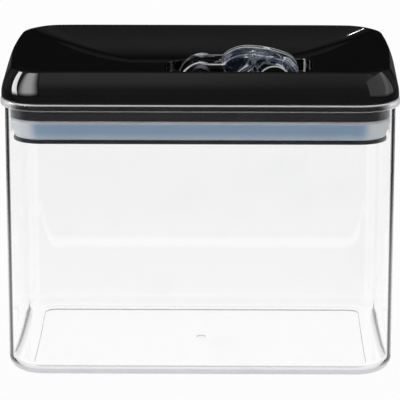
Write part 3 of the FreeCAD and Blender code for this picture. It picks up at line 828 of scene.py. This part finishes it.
def card_object(name: str, corners: Sequence[Sequence[float]]) -> bpy.types.Object:
    """Flat card of the studio.

    Args:
        name: Object name.
        corners: Its four corners in metres, in order.

    Returns:
        The card, linked to the scene.
    """
    mesh = bpy.data.meshes.new(name)
    mesh.from_pydata([tuple(map(float, corner)) for corner in corners], [], [(0, 1, 2, 3)])
    card = bpy.data.objects.new(name, mesh)
    bpy.context.scene.collection.objects.link(card)
    return card


def mark_points(thing: bpy.types.Object, mark: Mark, weight: np.ndarray) -> None:
    """Store one number per grid point as a mesh attribute; poles get 0.

    Args:
        thing: Piece made from a grid.
        mark: Name of the number.
        weight: Numbers of shape (rows, steps).
    """
    values = np.zeros(len(thing.data.vertices), np.float32)
    values[: weight.size] = weight.ravel()
    thing.data.attributes.new(mark.value, "FLOAT", "POINT").data.foreach_set("value", values)


def dress(thing: bpy.types.Object, material: bpy.types.Material) -> None:
    """Give an object one material."""
    thing.data.materials.clear()
    thing.data.materials.append(material)


def dress_node(node: str, material: bpy.types.Material) -> None:
    """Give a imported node's object a material in all its slots.

    Args:
        node: Node name.
        material: Its finish.
    """
    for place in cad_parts[node].material_slots:
        place.material = material
    LOG.info("node %s wears %s", node, material.name)


@dataclass
class ContainerBox:
    """Clear box: drafted walls, rounded base, thick lip round the mouth, shallow foot recess."""

    outline: Outline = Outline(113.5, 72.5, 22.0)
    height: float = 164.5
    wall: float = 2.5
    draft: float = math.tan(math.radians(0.1))
    floor: float = 4.0
    base_round: float = 8.0
    floor_round: float = 5.5
    lip_overhang: float = 2.5
    lip_thickness: float = 4.4
    lip_round: float = 1.2
    lip_root_round: float = 0.5
    mouth_round: float = 0.4
    foot_inset: float = 15.0
    pole_inset: float = 1.0
    foot_recess: float = 0.8
    foot_step_round: float = 0.15
    foot_rim_round: float = 0.25
    gate_radius: float = 2.5
    gate_depth: float = 0.6
    gate_taper: float = 0.2
    gate_break: float = 0.15
    # Strengths of the painted edge highlights at the lip's upper and lower corners, the short sides' ends
    # and the base.
    top_glow: float = 0.85
    low_glow: float = 0.28
    end_glow: float = 0.85
    base_glow: float = 0.8
    slant_power: float = 2.5
    finish: ClearPlastic = ClearPlastic(
        "clear_box", 1.49, 0.004, 0.015, 0.000004, (0.90, 0.92, 0.91), 8.0
    )

    def wall_section(self) -> tuple[np.ndarray, np.ndarray, np.ndarray]:
        """Section of foot, wall, lip and floor, as moves from the outline and heights.

        Returns:
            Points, outward normals and each point's corner.
        """
        top, lip = self.height, self.height - self.lip_thickness
        edge = -self.foot_inset
        middle = edge - self.pole_inset
        rounded = {
            BoxCorner.FOOT_MIDDLE: ((middle, self.foot_recess), 0.0),
            BoxCorner.FOOT_STEP: ((edge, self.foot_recess), self.foot_step_round),
            BoxCorner.FOOT_RIM: ((edge, 0.0), self.foot_rim_round),
            BoxCorner.BASE: ((-top * self.draft, 0.0), self.base_round),
            BoxCorner.LIP_ROOT: ((-self.lip_thickness * self.draft, lip), self.lip_root_round),
            BoxCorner.LIP_LOW: ((self.lip_overhang, lip), self.lip_round),
            BoxCorner.LIP_TOP: ((self.lip_overhang, top), self.lip_round),
            BoxCorner.MOUTH: ((-self.wall, top), self.mouth_round),
            BoxCorner.FLOOR: (
                (-self.wall - (top - self.floor) * self.draft, self.floor),
                self.floor_round,
            ),
            BoxCorner.FLOOR_MIDDLE: ((middle, self.floor), 0.0),
        }
        corners, radii = zip(*rounded.values())
        return rounded_section(corners, radii, closed=False, steps=8)

    def gate_rows(self, walk: Walk) -> Grid:
        """Round gate mark under the foot: its ceiling, its wall and its broken edge.

        Args:
            walk: Steps, spread evenly round the mark.

        Returns:
            Points and normals of its four rows.
        """
        ceiling = self.foot_recess + self.gate_depth
        points = disc_rows(
            walk,
            [self.gate_radius - self.gate_taper, self.gate_radius, self.gate_radius,
             self.gate_radius + self.gate_taper],
            [ceiling, ceiling - self.gate_break, self.foot_recess + self.gate_break,
             self.foot_recess],
        )
        normals = np.zeros_like(points)
        normals[..., 2] = -1.0
        normals[1:3] = -points[1:3] * (1.0, 1.0, 0.0)
        return points, normals

    def edge_marks(
        self, walk: Walk, facing: np.ndarray, owner: np.ndarray
    ) -> tuple[np.ndarray, np.ndarray]:
        """Shares of painted edge highlight and of painted corner shade for the section's rows.

        The painted highlight is strongest where the lip's corners slant by 45 degrees, and full towards
        the short sides. The base gets painted highlight where it faces down; a corner gets painted shade
        on its upright wall.

        Args:
            walk: Steps round the box.
            facing: Section normals.
            owner: Each section point's corner.

        Returns:
            Edge and corner shares, each of shape (section points, walk steps).
        """
        slant = (np.abs(facing[:, 0] * facing[:, 1]) * 2.0) ** self.slant_power
        under = ramp(-facing[:, 1], 0.05, 0.3)
        low, high = owner == BoxCorner.LIP_LOW, owner == BoxCorner.LIP_TOP
        base = owner == BoxCorner.BASE
        glows = [self.top_glow * slant, self.low_glow * slant, self.base_glow * under]
        glow = np.select([high, low, base], glows, 0.0)
        turned = np.abs(walk.way).min(-1) > 0.05
        sideways = turned * ramp(np.abs(walk.way[:, 0]), 0.55, 0.3)
        ends = np.where(low | high, self.end_glow, 0.0)
        upright = ((owner == BoxCorner.LIP_ROOT) | base) & (facing[:, 1] > -0.25)
        return np.maximum(glow[:, None], ends[:, None] * sideways), upright[:, None] * turned

    def build(self) -> bpy.types.Object:
        """Carry the wall's section round the outline, between two poles.

        Returns:
            The finished box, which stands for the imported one.
        """
        walk = Walk(corner_steps=16, long_steps=8, short_steps=6)
        section, facing, owner = self.wall_section()
        grids = self.gate_rows(walk), sweep(self.outline, walk, section, facing)
        points, normals = (np.concatenate(rows) for rows in zip(*grids))
        box = skin_object("clear_box", points, normals, ends=(End.POLE, End.POLE))
        blank = np.zeros(grids[0][0].shape[:2])
        # Shares of painted edge highlight and of painted corner shade.
        shares = self.edge_marks(walk, facing, owner)
        for mark, share in zip((Mark.EDGE, Mark.CORNER), shares):
            mark_points(box, mark, np.concatenate([blank, share]))
        dress(box, self.finish.material())
        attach(box, "container")
        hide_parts("container_body")
        return box


@dataclass
class LidCover:
    """Black top shell: bulging skirt, rounded rim, dish with four slopes, well for the lever."""

    foot: Outline = Outline(115.4, 74.4, 23.9)
    seat: float = 164.7
    height: float = 18.3
    foot_inset: float = 0.3
    foot_height: float = 0.5
    middle_height: float = 9.0
    middle_lean: float = 0.5
    lean: float = 3.7
    bow: float = 4.6
    dip: float = 3.2
    wall: float = 2.2
    rim_round: float = 1.2
    dish: tuple[Outline, Outline, Outline] = (
        Outline(109.4, 68.4, 17.9),
        Outline(76.0, 45.0, 6.0),
        Outline(43.0, 21.0, 4.0),
    )
    depths: tuple[float, float, float] = (0.0, 8.2, 11.8)
    dish_round: float = 0.4
    well: Outline = Outline(44.0, 22.0, 14.0, 22.0)
    well_depth: float = 18.4
    well_round: float = 0.8
    window: Outline = Outline(18.25, 15.2, 4.0, 1.2)
    window_break: float = 0.4
    hidden_break: float = 0.2
    cup_rise: float = 1.0
    cup_gap: float = 0.6
    inner_gap: float = 1.0
    inner_drop: float = 0.8
    inner_foot: float = 0.3
    least_step: float = 0.05
    skirt_steps: int = 15
    rim_steps: int = 9
    dish_steps: int = 72
    dish_crowding: float = 1.15
    well_steps: int = 6
    under_steps: int = 12
    inside_steps: int = 5
    finish: BlackPlastic = BlackPlastic(
        "gloss_black", (0.0032, 0.0032, 0.0029), (0.0065, 0.0064, 0.006), 0.03, 0.03, 0.000001, 900.0
    )

    @property
    def top(self) -> float:
        """Height of the rim."""
        return self.seat + self.height

    @property
    def well_floor(self) -> float:
        """Height of the well's floor."""
        return self.top - self.well_depth

    def lean_at(self, rise: np.ndarray) -> tuple[np.ndarray, np.ndarray]:
        """Skirt's move outwards and its slope.

        The move is the parabola through 0 at the foot, the middle lean and the full lean.

        Args:
            rise: Heights above the seat.

        Returns:
            Moves and slopes at these heights.
        """
        m, h = self.middle_height, self.height
        square = (self.lean / h - self.middle_lean / m) / (m - h)
        line = -self.middle_lean / m - square * m
        return line * rise + square * rise**2, line + 2 * square * rise

    def depth_at(self, plan: np.ndarray) -> np.ndarray:
        """Depth of the dish below the rim at plan points.

        Each dish ring at a share v has the parabola through its three sizes for half width, half
        depth, corner and depth. The share whose ring passes through a point is found by halving,
        and the depth turns smoothly into the flat rim.

        Args:
            plan: Plan points in millimetres, shape (..., 2).

        Returns:
            Depth in millimetres, 0 on the rim.
        """
        sizes = np.array([[o.half_x, o.half_y, o.corner, d] for o, d in zip(self.dish, self.depths)])
        square = 2 * (sizes[0] - 2 * sizes[1] + sizes[2])
        line = sizes[2] - sizes[0] - square
        spot = np.abs(plan)
        outermost, halvings = -0.2, 26
        low, high = np.full(plan.shape[:-1], outermost), np.ones(plan.shape[:-1])
        for _ in range(halvings):
            share = (low + high) / 2
            v = share[..., None]
            ring = np.moveaxis(sizes[0] + v * (line + v * square), -1, 0)
            half_x, half_y, corner = ring[:3]
            gap_x, gap_y = spot[..., 0] - half_x + corner, spot[..., 1] - half_y + corner
            past_corner = np.hypot(np.maximum(gap_x, 0), np.maximum(gap_y, 0))
            outside = past_corner + np.minimum(np.maximum(gap_x, gap_y), 0) > corner
            high = np.where(outside, share, high)
            low = np.where(outside, low, share)
        depth = sizes[0, 3] + share * (line[3] + share * square[3])
        w = self.dish_round
        return np.clip(depth + w, 0, 2 * w) ** 2 / (4 * w) + np.maximum(depth - w, 0)

    def top_rows(self, plan: np.ndarray, drop: float = 0.0) -> Grid:
        """Rows that lie on the dish: the rim's height less the depth, tilted by its differences.

        Args:
            plan: Plan points, shape (rows, steps, 2).
            drop: How far below the dish the rows lie; those that lie below face down.

        Returns:
            Points and normals.
        """
        step = 0.04
        depth = self.depth_at(plan)
        tilt = [
            (self.depth_at(plan + move) - self.depth_at(plan - move)) / (2 * step)
            for move in (np.array([step, 0.0]), np.array([0.0, step]))
        ]
        normals = np.stack([*tilt, np.ones_like(depth)], -1)
        normals /= np.linalg.norm(normals, axis=-1, keepdims=True)
        points = np.concatenate([plan, (self.top - drop - depth)[..., None]], -1)
        return points, normals * (1 if drop == 0 else -1)

    def crown(self, points: np.ndarray) -> np.ndarray:
        """Bow the short sides and let the rim fall towards the corners.

        With the share of the height squared, X draws in by the bow times the cube of X times
        the 1.5th power of Y, and Z falls by the dip times the twelfth power of X and the fourth
        of Y, each measured in half sizes of the foot.

        Args:
            points: Points in millimetres.

        Returns:
            The moved points.
        """
        share = ramp(points[..., 2], self.seat, self.height) ** 2
        across, along = points[..., 0] / self.foot.half_x, np.abs(points[..., 1]) / self.foot.half_y
        move = np.zeros_like(points)
        move[..., 0] = -self.bow * share * across**3 * along**1.5
        move[..., 2] = -self.dip * share * across**12 * along**4
        return points + move

    def crowned(self, points: np.ndarray, normals: np.ndarray) -> Grid:
        """Crown a grid and turn its normals by the inverse of the crown's differences.

        Args:
            points: Grid points.
            normals: Their normals.

        Returns:
            The moved points and turned normals.
        """
        step = 0.02
        change = [
            (self.crown(points + step * axis) - self.crown(points - step * axis)) / (2 * step)
            for axis in np.eye(3)
        ]
        turned = np.linalg.solve(np.stack(change, -2), normals[..., None])[..., 0]
        return self.crown(points), turned

    def skirt_rows(self, walk: Walk) -> tuple[Grid, float]:
        """Skirt from its foot to the rim.

        The skirt follows the lean in even steps of height, and the rim's arc touches it and ends
        level on top.

        Args:
            walk: Steps round the lid.

        Returns:
            The grid, and the move outwards at which the arc ends.
        """
        rise = np.linspace(self.foot_height, self.height, self.skirt_steps)
        out, slope = self.lean_at(rise)
        tilt = math.atan(-slope[-1])
        turn = np.linspace(tilt, QUARTER, self.rim_steps)
        r = self.rim_round
        middle = out[-1] - (r - r * math.sin(tilt)) / math.cos(tilt)
        around = np.stack([np.cos(turn), np.sin(turn)], -1)
        arc = np.array([middle, self.top - r]) + r * around
        keep = self.seat + rise < arc[0, 1] - self.least_step
        skirt = np.stack([out, self.seat + rise], -1)[keep]
        lean = np.stack([np.ones_like(slope), -slope], -1)[keep]
        lean /= np.linalg.norm(lean, axis=1, keepdims=True)
        section = np.concatenate([[[-self.foot_inset, self.seat]], skirt, arc])
        facing = np.concatenate([[[0.0, -1.0]], lean, around])
        return sweep(self.foot, walk, section, facing), middle

    def dish_rows(self, walk: Walk, middle: float) -> Grid:
        """Dish from the rim to the well's lip, in straight steps that are shorter at the rim.

        Args:
            walk: Steps round the lid.
            middle: Move outwards at which the rim's arc ends.

        Returns:
            Points and normals on the dish.
        """
        rim, lip = self.foot.ring(walk, middle), self.well.ring(walk, self.well_round)
        share = (np.linspace(0, 1, self.dish_steps)[1:] ** self.dish_crowding)[:, None, None]
        return self.top_rows(rim + (lip - rim) * share)

    def well_rows(self, walk: Walk, dish: Grid) -> list[Grid]:
        """Well: its rounded lip, its wall with a rounded foot, and the window in its floor.

        The lip's arc starts level with the dish's last row and turns into the wall.

        Args:
            walk: Steps round the lid.
            dish: Grid of the dish.

        Returns:
            Grids from the lip down to the underside of the floor.
        """
        r, floor, under = self.well_round, self.well_floor, self.well_floor - self.wall
        lip, lip_facing = dish[0][-1:], dish[1][-1:]
        inward = np.concatenate([-walk.way, np.zeros((walk.steps, 1))], -1)
        turn = np.linspace(0, QUARTER, self.well_steps)
        bend = turn[1:, None, None]
        plan = self.well.ring(walk, r * (1 - np.sin(turn[1:])))
        edge = np.concatenate([plan, lip[..., 2:] - r * (1 - np.cos(bend))], -1)
        edge_facing = lip_facing * np.cos(bend) + inward * np.sin(bend)
        wall = np.stack([-r * (1 - np.cos(turn)), floor + r * (1 - np.sin(turn))], -1)
        wall_facing = np.stack([-np.cos(turn), np.sin(turn)], -1)
        wide, fine, small = self.window_break, self.window_break / 4, self.hidden_break
        hole = [(wide, floor), (fine, floor - fine), (0, floor - wide), (0, under + small), (small, under)]
        hole_facing = [(0, 1), (-0.7, 0.7), (-1, 0), (-1, 0), (0, -1)]
        return [
            (edge, edge_facing),
            sweep(self.well, walk, wall, wall_facing),
            sweep(self.window, walk, hole, hole_facing),
        ]

    def inner_rows(self, walk: Walk) -> list[Grid]:
        """Inside of the shell: outer wall of the well, underside of the dish, inside of the skirt.

        Args:
            walk: Steps round the lid.

        Returns:
            Grids from the well's underside back to the foot.
        """
        wall, small = self.wall, self.hidden_break
        floor, under = self.well_floor, self.well_floor - wall
        cup = [(wall - small, under), (wall, under + small), (wall, floor + self.cup_rise)]
        rim = self.foot.ring(walk, -self.lean - wall - self.inner_gap)
        below = self.well.ring(walk, wall + self.cup_gap)
        share = np.linspace(0, 1, self.under_steps)[:, None, None]
        fall = np.linspace(self.height - wall - self.inner_drop, self.inner_foot, self.inside_steps)
        inside = np.stack([self.lean_at(fall)[0] - wall, self.seat + fall], -1)
        return [
            sweep(self.well, walk, cup, [(0, -1), (1, 0), (1, 0)]),
            self.top_rows(below + (rim - below) * share, wall),
            sweep(self.foot, walk, inside, [(-1, 0)] * len(fall)),
            sweep(self.foot, walk, [(small - wall, self.seat)], [(0, -1)]),
        ]

    def build(self) -> bpy.types.Object:
        """Close one skin: skirt, rim, dish, well, window, underside and back to the foot.

        Returns:
            The finished cover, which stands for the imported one.
        """
        walk = Walk(corner_steps=24, long_steps=96, short_steps=56)
        skirt, middle = self.skirt_rows(walk)
        dish = self.dish_rows(walk, middle)
        grids = [skirt, dish, *self.well_rows(walk, dish), *self.inner_rows(walk)]
        points, normals = self.crowned(*(np.concatenate(rows) for rows in zip(*grids)))
        cover = skin_object("lid_shell", points, normals, rows_join=True)
        dress(cover, self.finish.material())
        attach(cover, "lid")
        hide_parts("lid_cover")
        return cover


@dataclass
class SealBand:
    """Silicone gasket: a crowned, tapering section carried round the plug."""

    outline: Outline = Outline(110.65, 69.65, 19.15)
    low: float = 142.1
    high: float = 153.7
    thickness: float = 7.0
    taper: float = 2.8
    crown: float = 3.0
    chamfer: float = 1.4
    back_round: float = 0.3
    toe_round: float = 0.9
    crown_round: float = 2.5
    chamfer_round: float = 0.7
    # Its last two colours are painted light at the corners and painted highlights on the edges.
    finish: MilkySilicone = MilkySilicone(
        "milky_silicone", (0.36, 0.52, 0.71), (0.324, 0.468, 0.639), (0.86, 0.90, 0.95), (0.88, 0.90, 0.92)
    )

    def build(self) -> bpy.types.Object:
        """Carry the closed section round the outline, and mark its corners and heights.

        The corner share eases in as the outward direction turns away from the sides, and the
        height share goes evenly from the lower to the upper edge.

        Returns:
            The finished band, between the lid and the plate.
        """
        walk = Walk(corner_steps=20, long_steps=40, short_steps=24)
        back = -self.thickness
        rounded = [
            ((back, self.low), self.back_round),
            ((-self.taper, self.low), self.toe_round),
            ((0.0, self.high - self.crown), self.crown_round),
            ((0.0, self.high - self.chamfer), self.chamfer_round),
            ((-self.chamfer, self.high), self.chamfer_round),
            ((back, self.high), self.back_round),
        ]
        section, facing, _ = rounded_section(*zip(*rounded), closed=True, steps=6)
        points, normals = sweep(self.outline, walk, section, facing)
        band = skin_object("seal_band", points, normals, rows_join=True)
        # Corner share: where the finish paints light at the corners.
        nearness = ramp(np.abs(walk.way).min(-1), 0.08, 0.36)
        weight = nearness * nearness * (3 - 2 * nearness)
        rise = (section[:, 1:] - self.low) / (self.high - self.low)
        mark_points(band, Mark.CORNER, np.ones((len(section), 1)) * weight)
        mark_points(band, Mark.RISE, rise * np.ones(walk.steps))
        dress(band, self.finish.material())
        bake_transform(band)
        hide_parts("seal_gasket")
        return band


@dataclass
class ReturnSpring:
    """Steel coil round the gland, between the cup and the plate."""

    diameter: float = 22.0
    wire: float = 1.0
    turns: float = 2.5
    low: float = 142.05
    high: float = 146.85
    finish: DrawnSteel = DrawnSteel("spring_wire", (1.0, 1.0, 6.0))

    def build(self) -> bpy.types.Object:
        """Carry the wire's circle along the helix.

        A point is the helix's point plus the wire's radius times the outward and the upright
        direction of its circle.

        Returns:
            The finished spring, between the lid and the plate.
        """
        rows, steps = 121, 12
        turn = np.linspace(0, 2 * math.pi * self.turns, rows)
        radius = (self.diameter - self.wire) / 2
        climb = np.linspace(self.low + self.wire / 2, self.high - self.wire / 2, rows)
        outward = np.stack([np.cos(turn), np.sin(turn), np.zeros(rows)], -1)
        centre = outward * radius
        centre[:, 2] = climb
        along = np.stack([-radius * np.sin(turn), radius * np.cos(turn), np.gradient(climb, turn)], -1)
        upright = np.cross(along / np.linalg.norm(along, axis=1, keepdims=True), outward) * -1.0
        circle = np.linspace(0, 2 * math.pi, steps, endpoint=False)[None, :, None]
        normals = outward[:, None] * np.cos(circle) + upright[:, None] * np.sin(circle)
        points = centre[:, None] + normals * (self.wire / 2)
        spring = skin_object("coil_spring", points, normals, ends=(End.POLE, End.POLE))
        dress(spring, self.finish.material())
        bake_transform(spring)
        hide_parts("return_spring")
        return spring


@dataclass
class Lever:
    """Clear cam lever with its pin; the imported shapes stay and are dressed."""

    # Its finish paints shade inside the grip, and highlights and glints on the edges, the arch and the
    # seams.
    crystal: CrystalPlastic = CrystalPlastic(
        name="crystal_lever",
        ior=1.49,
        facet=85.0,
        bend=0.014,
        start=0.0115,
        tip=(0.047, 0.056),
        half=0.014,
        arch=(0.0436, 0.1645, 0.0096),
        glass=(0.96, 0.97, 1.0),
        shade=(0.10, 0.13, 0.20),
        deep=(0.14, 0.26, 0.60),
        pale=(0.93, 0.95, 0.98),
    )
    pin: DrawnSteel = DrawnSteel("pin_steel", (1.0, 0.05, 1.0))

    def dress(self) -> None:
        """Dress the lever and its pin."""
        dress_node("lever", self.crystal.material())
        dress_node("pivot_pin", self.pin.material())


@dataclass
class Plug:
    """Black tray, plate and rod of the lid with their seals and screws, dressed as packed."""

    satin: BlackPlastic = BlackPlastic(
        "satin_black", (0.010, 0.010, 0.011), (0.020, 0.020, 0.021), 0.24, 0.12, 0.000006, 1800.0, 0.3
    )
    rubber: BlackPlastic = BlackPlastic(
        "soft_black", (0.016, 0.016, 0.016), (0.03, 0.03, 0.03), 0.6, 0.2, 0.00002, 1500.0
    )
    screws: DrawnSteel = DrawnSteel("screw_steel", (1.0, 1.0, 0.2))

    def dress(self) -> None:
        """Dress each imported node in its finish."""
        worn = {
            self.satin: ("plug_frame", "pressure_plate", "pull_rod", "gland_ring", "screw_cap"),
            self.rubber: ("rod_o_ring", "sealing_washer"),
            self.screws: ("plate_screw", "cover_screws"),
        }
        for finish, nodes in worn.items():
            material = finish.material()
            for node in nodes:
                dress_node(node, material)


@dataclass(frozen=True)
class Panel:
    """Soft lamp: an upright glowing card that only gloss shows and that fades towards its edges.

    Attributes:
        name: Lamp name.
        azimuth: Direction from the front (-Y) towards +X, in degrees.
        distance: Distance from the middle in metres.
        bottom: Height of its lower edge in metres.
        width: Width in metres.
        height: Height in metres.
        radiance: Brightness, where 1 is white.
        soft: Share of the half width that fades.
        upper: Brightness left at its upper edge.
        tilt: Move of the upper edge along the card's side in metres.
    """

    name: str
    azimuth: float
    distance: float
    bottom: float
    width: float
    height: float
    radiance: float
    soft: float
    upper: float
    tilt: float = 0.0

    def material(self) -> bpy.types.Material:
        """Build the glow.

        Returns:
            White light that fades sideways, at the foot and towards the upper edge.
        """
        turn = math.radians(self.azimuth)
        material, sheet = new_material(self.name)
        x, y, z = sheet.axes(sheet.place())
        up = (z - self.bottom) * (1.0 / self.height)
        along = x * math.cos(turn) + y * math.sin(turn) - up * self.tilt
        across = along.size() * (2.0 / self.width)
        sides = across.ease(1.0, 1.0 - self.soft)
        ends = up.ease(0.0, 0.2) * (1.0 - (1.0 - self.upper) * up.ease(0.2, 1.0))
        sheet.output(Surface=sheet.glow(sides * ends * self.radiance))
        return material

    def build(self) -> bpy.types.Object:
        """Stand the card up: its middle out along the azimuth, its sides along the turned X and Z.

        Returns:
            The card.
        """
        turn = math.radians(self.azimuth)
        right = np.array([math.cos(turn), math.sin(turn), 0.0])
        side = right * self.width / 2
        foot = np.array([self.distance * math.sin(turn), -self.distance * math.cos(turn), self.bottom])
        rise = np.array([0.0, 0.0, self.height]) + right * self.tilt
        card = card_object(self.name, [foot - side, foot + side, foot + side + rise, foot - side + rise])
        dress(card, self.material())
        card.visible_camera = False
        card.visible_diffuse = False
        card.visible_transmission = False
        card.visible_shadow = False
        return card


@dataclass(frozen=True)
class TopLamp:
    """Small lamp behind and above, with a narrow beam onto the lid's right back corner.

    Attributes:
        width: Width in metres.
        height: Height in metres.
        spread: Angle of its beam in radians.
        power: Power in watts.
        place: Where it hangs, in metres.
        aim: Point that it faces, in metres.
    """

    width: float = 0.08
    height: float = 0.4
    spread: float = math.radians(1.6)
    power: float = 0.0004
    place: tuple[float, float, float] = (-0.035, 1.25, 1.07)
    aim: tuple[float, float, float] = (0.0945, 0.0605, 0.178)

    def build(self) -> bpy.types.Object:
        """Hang the lamp and turn it from its place to its aim.

        Returns:
            The lamp.
        """
        light = bpy.data.lights.new("top_lamp", "AREA")
        light.shape = "RECTANGLE"
        light.size = self.width
        light.size_y = self.height
        light.spread = self.spread
        light.energy = self.power
        way = np.subtract(self.aim, self.place)
        pitch = math.atan2(math.hypot(way[0], way[1]), -way[2])
        lamp = bpy.data.objects.new("top_lamp", light)
        lamp.location = self.place
        lamp.rotation_euler = (pitch, 0.0, math.atan2(-way[0], way[1]))
        lamp.visible_camera = False
        bpy.context.scene.collection.objects.link(lamp)
        return lamp


@dataclass(frozen=True)
class Surroundings:
    """White behind the object, plain light on it, and a dim room for its gloss.

    Attributes:
        plain: Light on matte surfaces.
        straight: Light on any other ray.
        dim: Lowest level that gloss shows.
        ceiling: What gloss shows overhead.
        front_low: What it shows in front.
        front_high: What it shows higher up in front.
        sides: What it shows to the left and right.
    """

    plain: float = 0.9
    straight: float = 0.45
    dim: float = 0.01
    ceiling: float = 0.13
    front_low: float = 0.16
    front_high: float = 0.36
    sides: float = 0.12

    def build(self) -> bpy.types.World:
        """Mix the levels by the kind of ray and its direction.

        Returns:
            The scene's new world.
        """
        world = bpy.data.worlds.new("studio")
        bpy.context.scene.world = world
        world.use_nodes = True
        sheet = NodeSheet(world.node_tree)
        x, y, z = sheet.axes(sheet.make("ShaderNodeTexCoord", output="Generated"))
        front = y.ease(-0.1, -0.4)
        below = 1.0 - 0.45 * z.ease(-0.93, -0.99)
        low_front = 1.0 - 0.8 * front * z.ease(-0.4, -0.25)
        leftish = 1.0 - 0.55 * x.ease(-0.02, 0.03)
        high = z.band(0.12, 0.45, 0.6, 0.85) * leftish
        gloss = (
            self.dim
            + self.ceiling * z.ease(0.35, 0.75)
            + front * (self.front_low + self.front_high * high)
            + self.sides * x.size().ease(0.4, 0.8)
        )
        camera, glossy, through = (sheet.ray(ray) for ray in (Ray.CAMERA, Ray.GLOSSY, Ray.THROUGH))
        scattered = sheet.ray(Ray.SCATTERS).ease(0.0, 1.0)
        mirrored = glossy * gloss + (1.0 - glossy) * self.straight
        seen = through * (below * low_front) + (1.0 - through) * mirrored
        lit = scattered * self.plain + (1.0 - scattered) * seen
        sockets = {"Color": rgba(WHITE), "Strength": camera + (1.0 - camera) * lit}
        back = sheet.make("ShaderNodeBackground", {}, sockets)
        sheet.make("ShaderNodeOutputWorld", {}, {"Surface": back})
        return world


@dataclass(frozen=True)
class PaleFloor:
    """Wide pale floor that is white to the eye and keeps a faint shadow.

    Attributes:
        reach: Half side in metres.
        level: Height in metres.
        pale: Colour.
        grain: Colour of its grain.
    """

    reach: float = 8.0
    level: float = -0.0002
    pale: Colour = (0.86, 0.86, 0.86)
    grain: Colour = (0.84, 0.84, 0.84)

    def material(self) -> bpy.types.Material:
        """Build the floor's finish.

        Returns:
            Matte shader, covered by white light for the eye, for gloss close by and for diffuse rays.
        """
        material, sheet = new_material("pale_floor")
        material.cycles.emission_sampling = "NONE"
        x, y, _ = sheet.axes(sheet.place())
        away = (x * x + y * y) ** 0.5
        mirrored = 1.0 - away.ease(0.22, 0.55) * (0.93 - 0.08 * y.ease(-0.1, -0.4))
        camera, glossy, diffuse = (sheet.ray(ray) for ray in (Ray.CAMERA, Ray.GLOSSY, Ray.DIFFUSE))
        colour = sheet.mix(sheet.noise(scale=300.0, detail=3.0), self.pale, self.grain)
        matte = sheet.make("ShaderNodeBsdfDiffuse", {}, {"Color": colour})
        light = sheet.glow(camera + glossy * mirrored + diffuse * 0.86)
        sheet.output(Surface=sheet.cover(camera * 0.94 + glossy + diffuse * 0.8, matte, light))
        return material

    def build(self) -> bpy.types.Object:
        """Lay the floor.

        Returns:
            The floor.
        """
        signs = ((-1, -1), (1, -1), (1, 1), (-1, 1))
        corners = [(x * self.reach, y * self.reach, self.level) for x, y in signs]
        floor = card_object("floor", corners)
        dress(floor, self.material())
        floor.visible_transmission = False
        return floor


@dataclass
class Studio:
    """Camera, pale floor, surroundings, soft cards and a small lamp.

    Attributes:
        focal_length: Focal length in pixels of the image.
        image_width: Width of the image in pixels.
        sensor: Width of the sensor in millimetres.
        distance: Distance of the camera from the middle in plan, in metres.
        height: Height of the camera in metres.
        pitch: Angle by which it looks down, in radians.
        azimuth: Angle by which it stands to the right, in radians.
        pan: Angle by which it turns further to the left, in radians.
        panels: Soft lamps.
    """

    focal_length: float = 2872.66
    image_width: float = 400.0
    sensor: float = 36.0
    distance: float = 1.68006
    height: float = 0.52643
    pitch: float = 0.25467
    azimuth: float = 0.0122252
    pan: float = 0.00040654
    panels: tuple[Panel, ...] = (
        Panel("left_strip", -77.0, 1.2, 0.085, 0.40, 1.00, 15.0, 0.12, 0.8, -0.66),
        Panel("left_card", -40.0, 1.3, 0.06, 1.60, 1.30, 7.0, 0.85, 1.0, -0.45),
        Panel("right_card", 74.0, 1.3, 0.035, 2.3, 1.00, 1.0, 0.12, 1.0),
        Panel("right_strip", 82.0, 1.2, 0.04, 0.40, 1.00, 1.6, 0.2, 1.0, 0.6),
    )

    def build(self) -> None:
        """Set up the view, the surroundings, the floor and the lamps."""
        bpy.context.scene.view_settings.view_transform = "Standard"
        self.add_camera()
        for thing in (Surroundings(), PaleFloor(), *self.panels, TopLamp()):
            LOG.info("studio has %s", thing.build().name)

    def add_camera(self) -> bpy.types.Object:
        """Stand the camera in front, a little to the right and above.

        Returns:
            The scene's camera. Its focal length is given in pixels of the image.
        """
        scene = bpy.context.scene
        lens = bpy.data.cameras.new("view")
        lens.lens = self.focal_length * self.sensor / self.image_width
        lens.sensor_width = self.sensor
        lens.clip_end = 50.0
        camera = bpy.data.objects.new("view", lens)
        right, ahead = math.sin(self.azimuth), -math.cos(self.azimuth)
        camera.location = (self.distance * right, self.distance * ahead, self.height)
        camera.rotation_euler = (QUARTER - self.pitch, 0.0, self.azimuth + self.pan)
        scene.collection.objects.link(camera)
        scene.camera = camera
        return camera


def main() -> None:
    """Build the studio and every piece, and dress the plug's and the lever's nodes."""
    logging.basicConfig(level=logging.INFO, format="%(message)s")
    Studio().build()
    for part in (ContainerBox(), LidCover(), SealBand(), ReturnSpring()):
        piece = part.build()
        LOG.info("piece %s: %d faces", piece.name, len(piece.data.polygons))
    Plug().dress()
    Lever().dress()


if __name__ == "__main__":
    main()
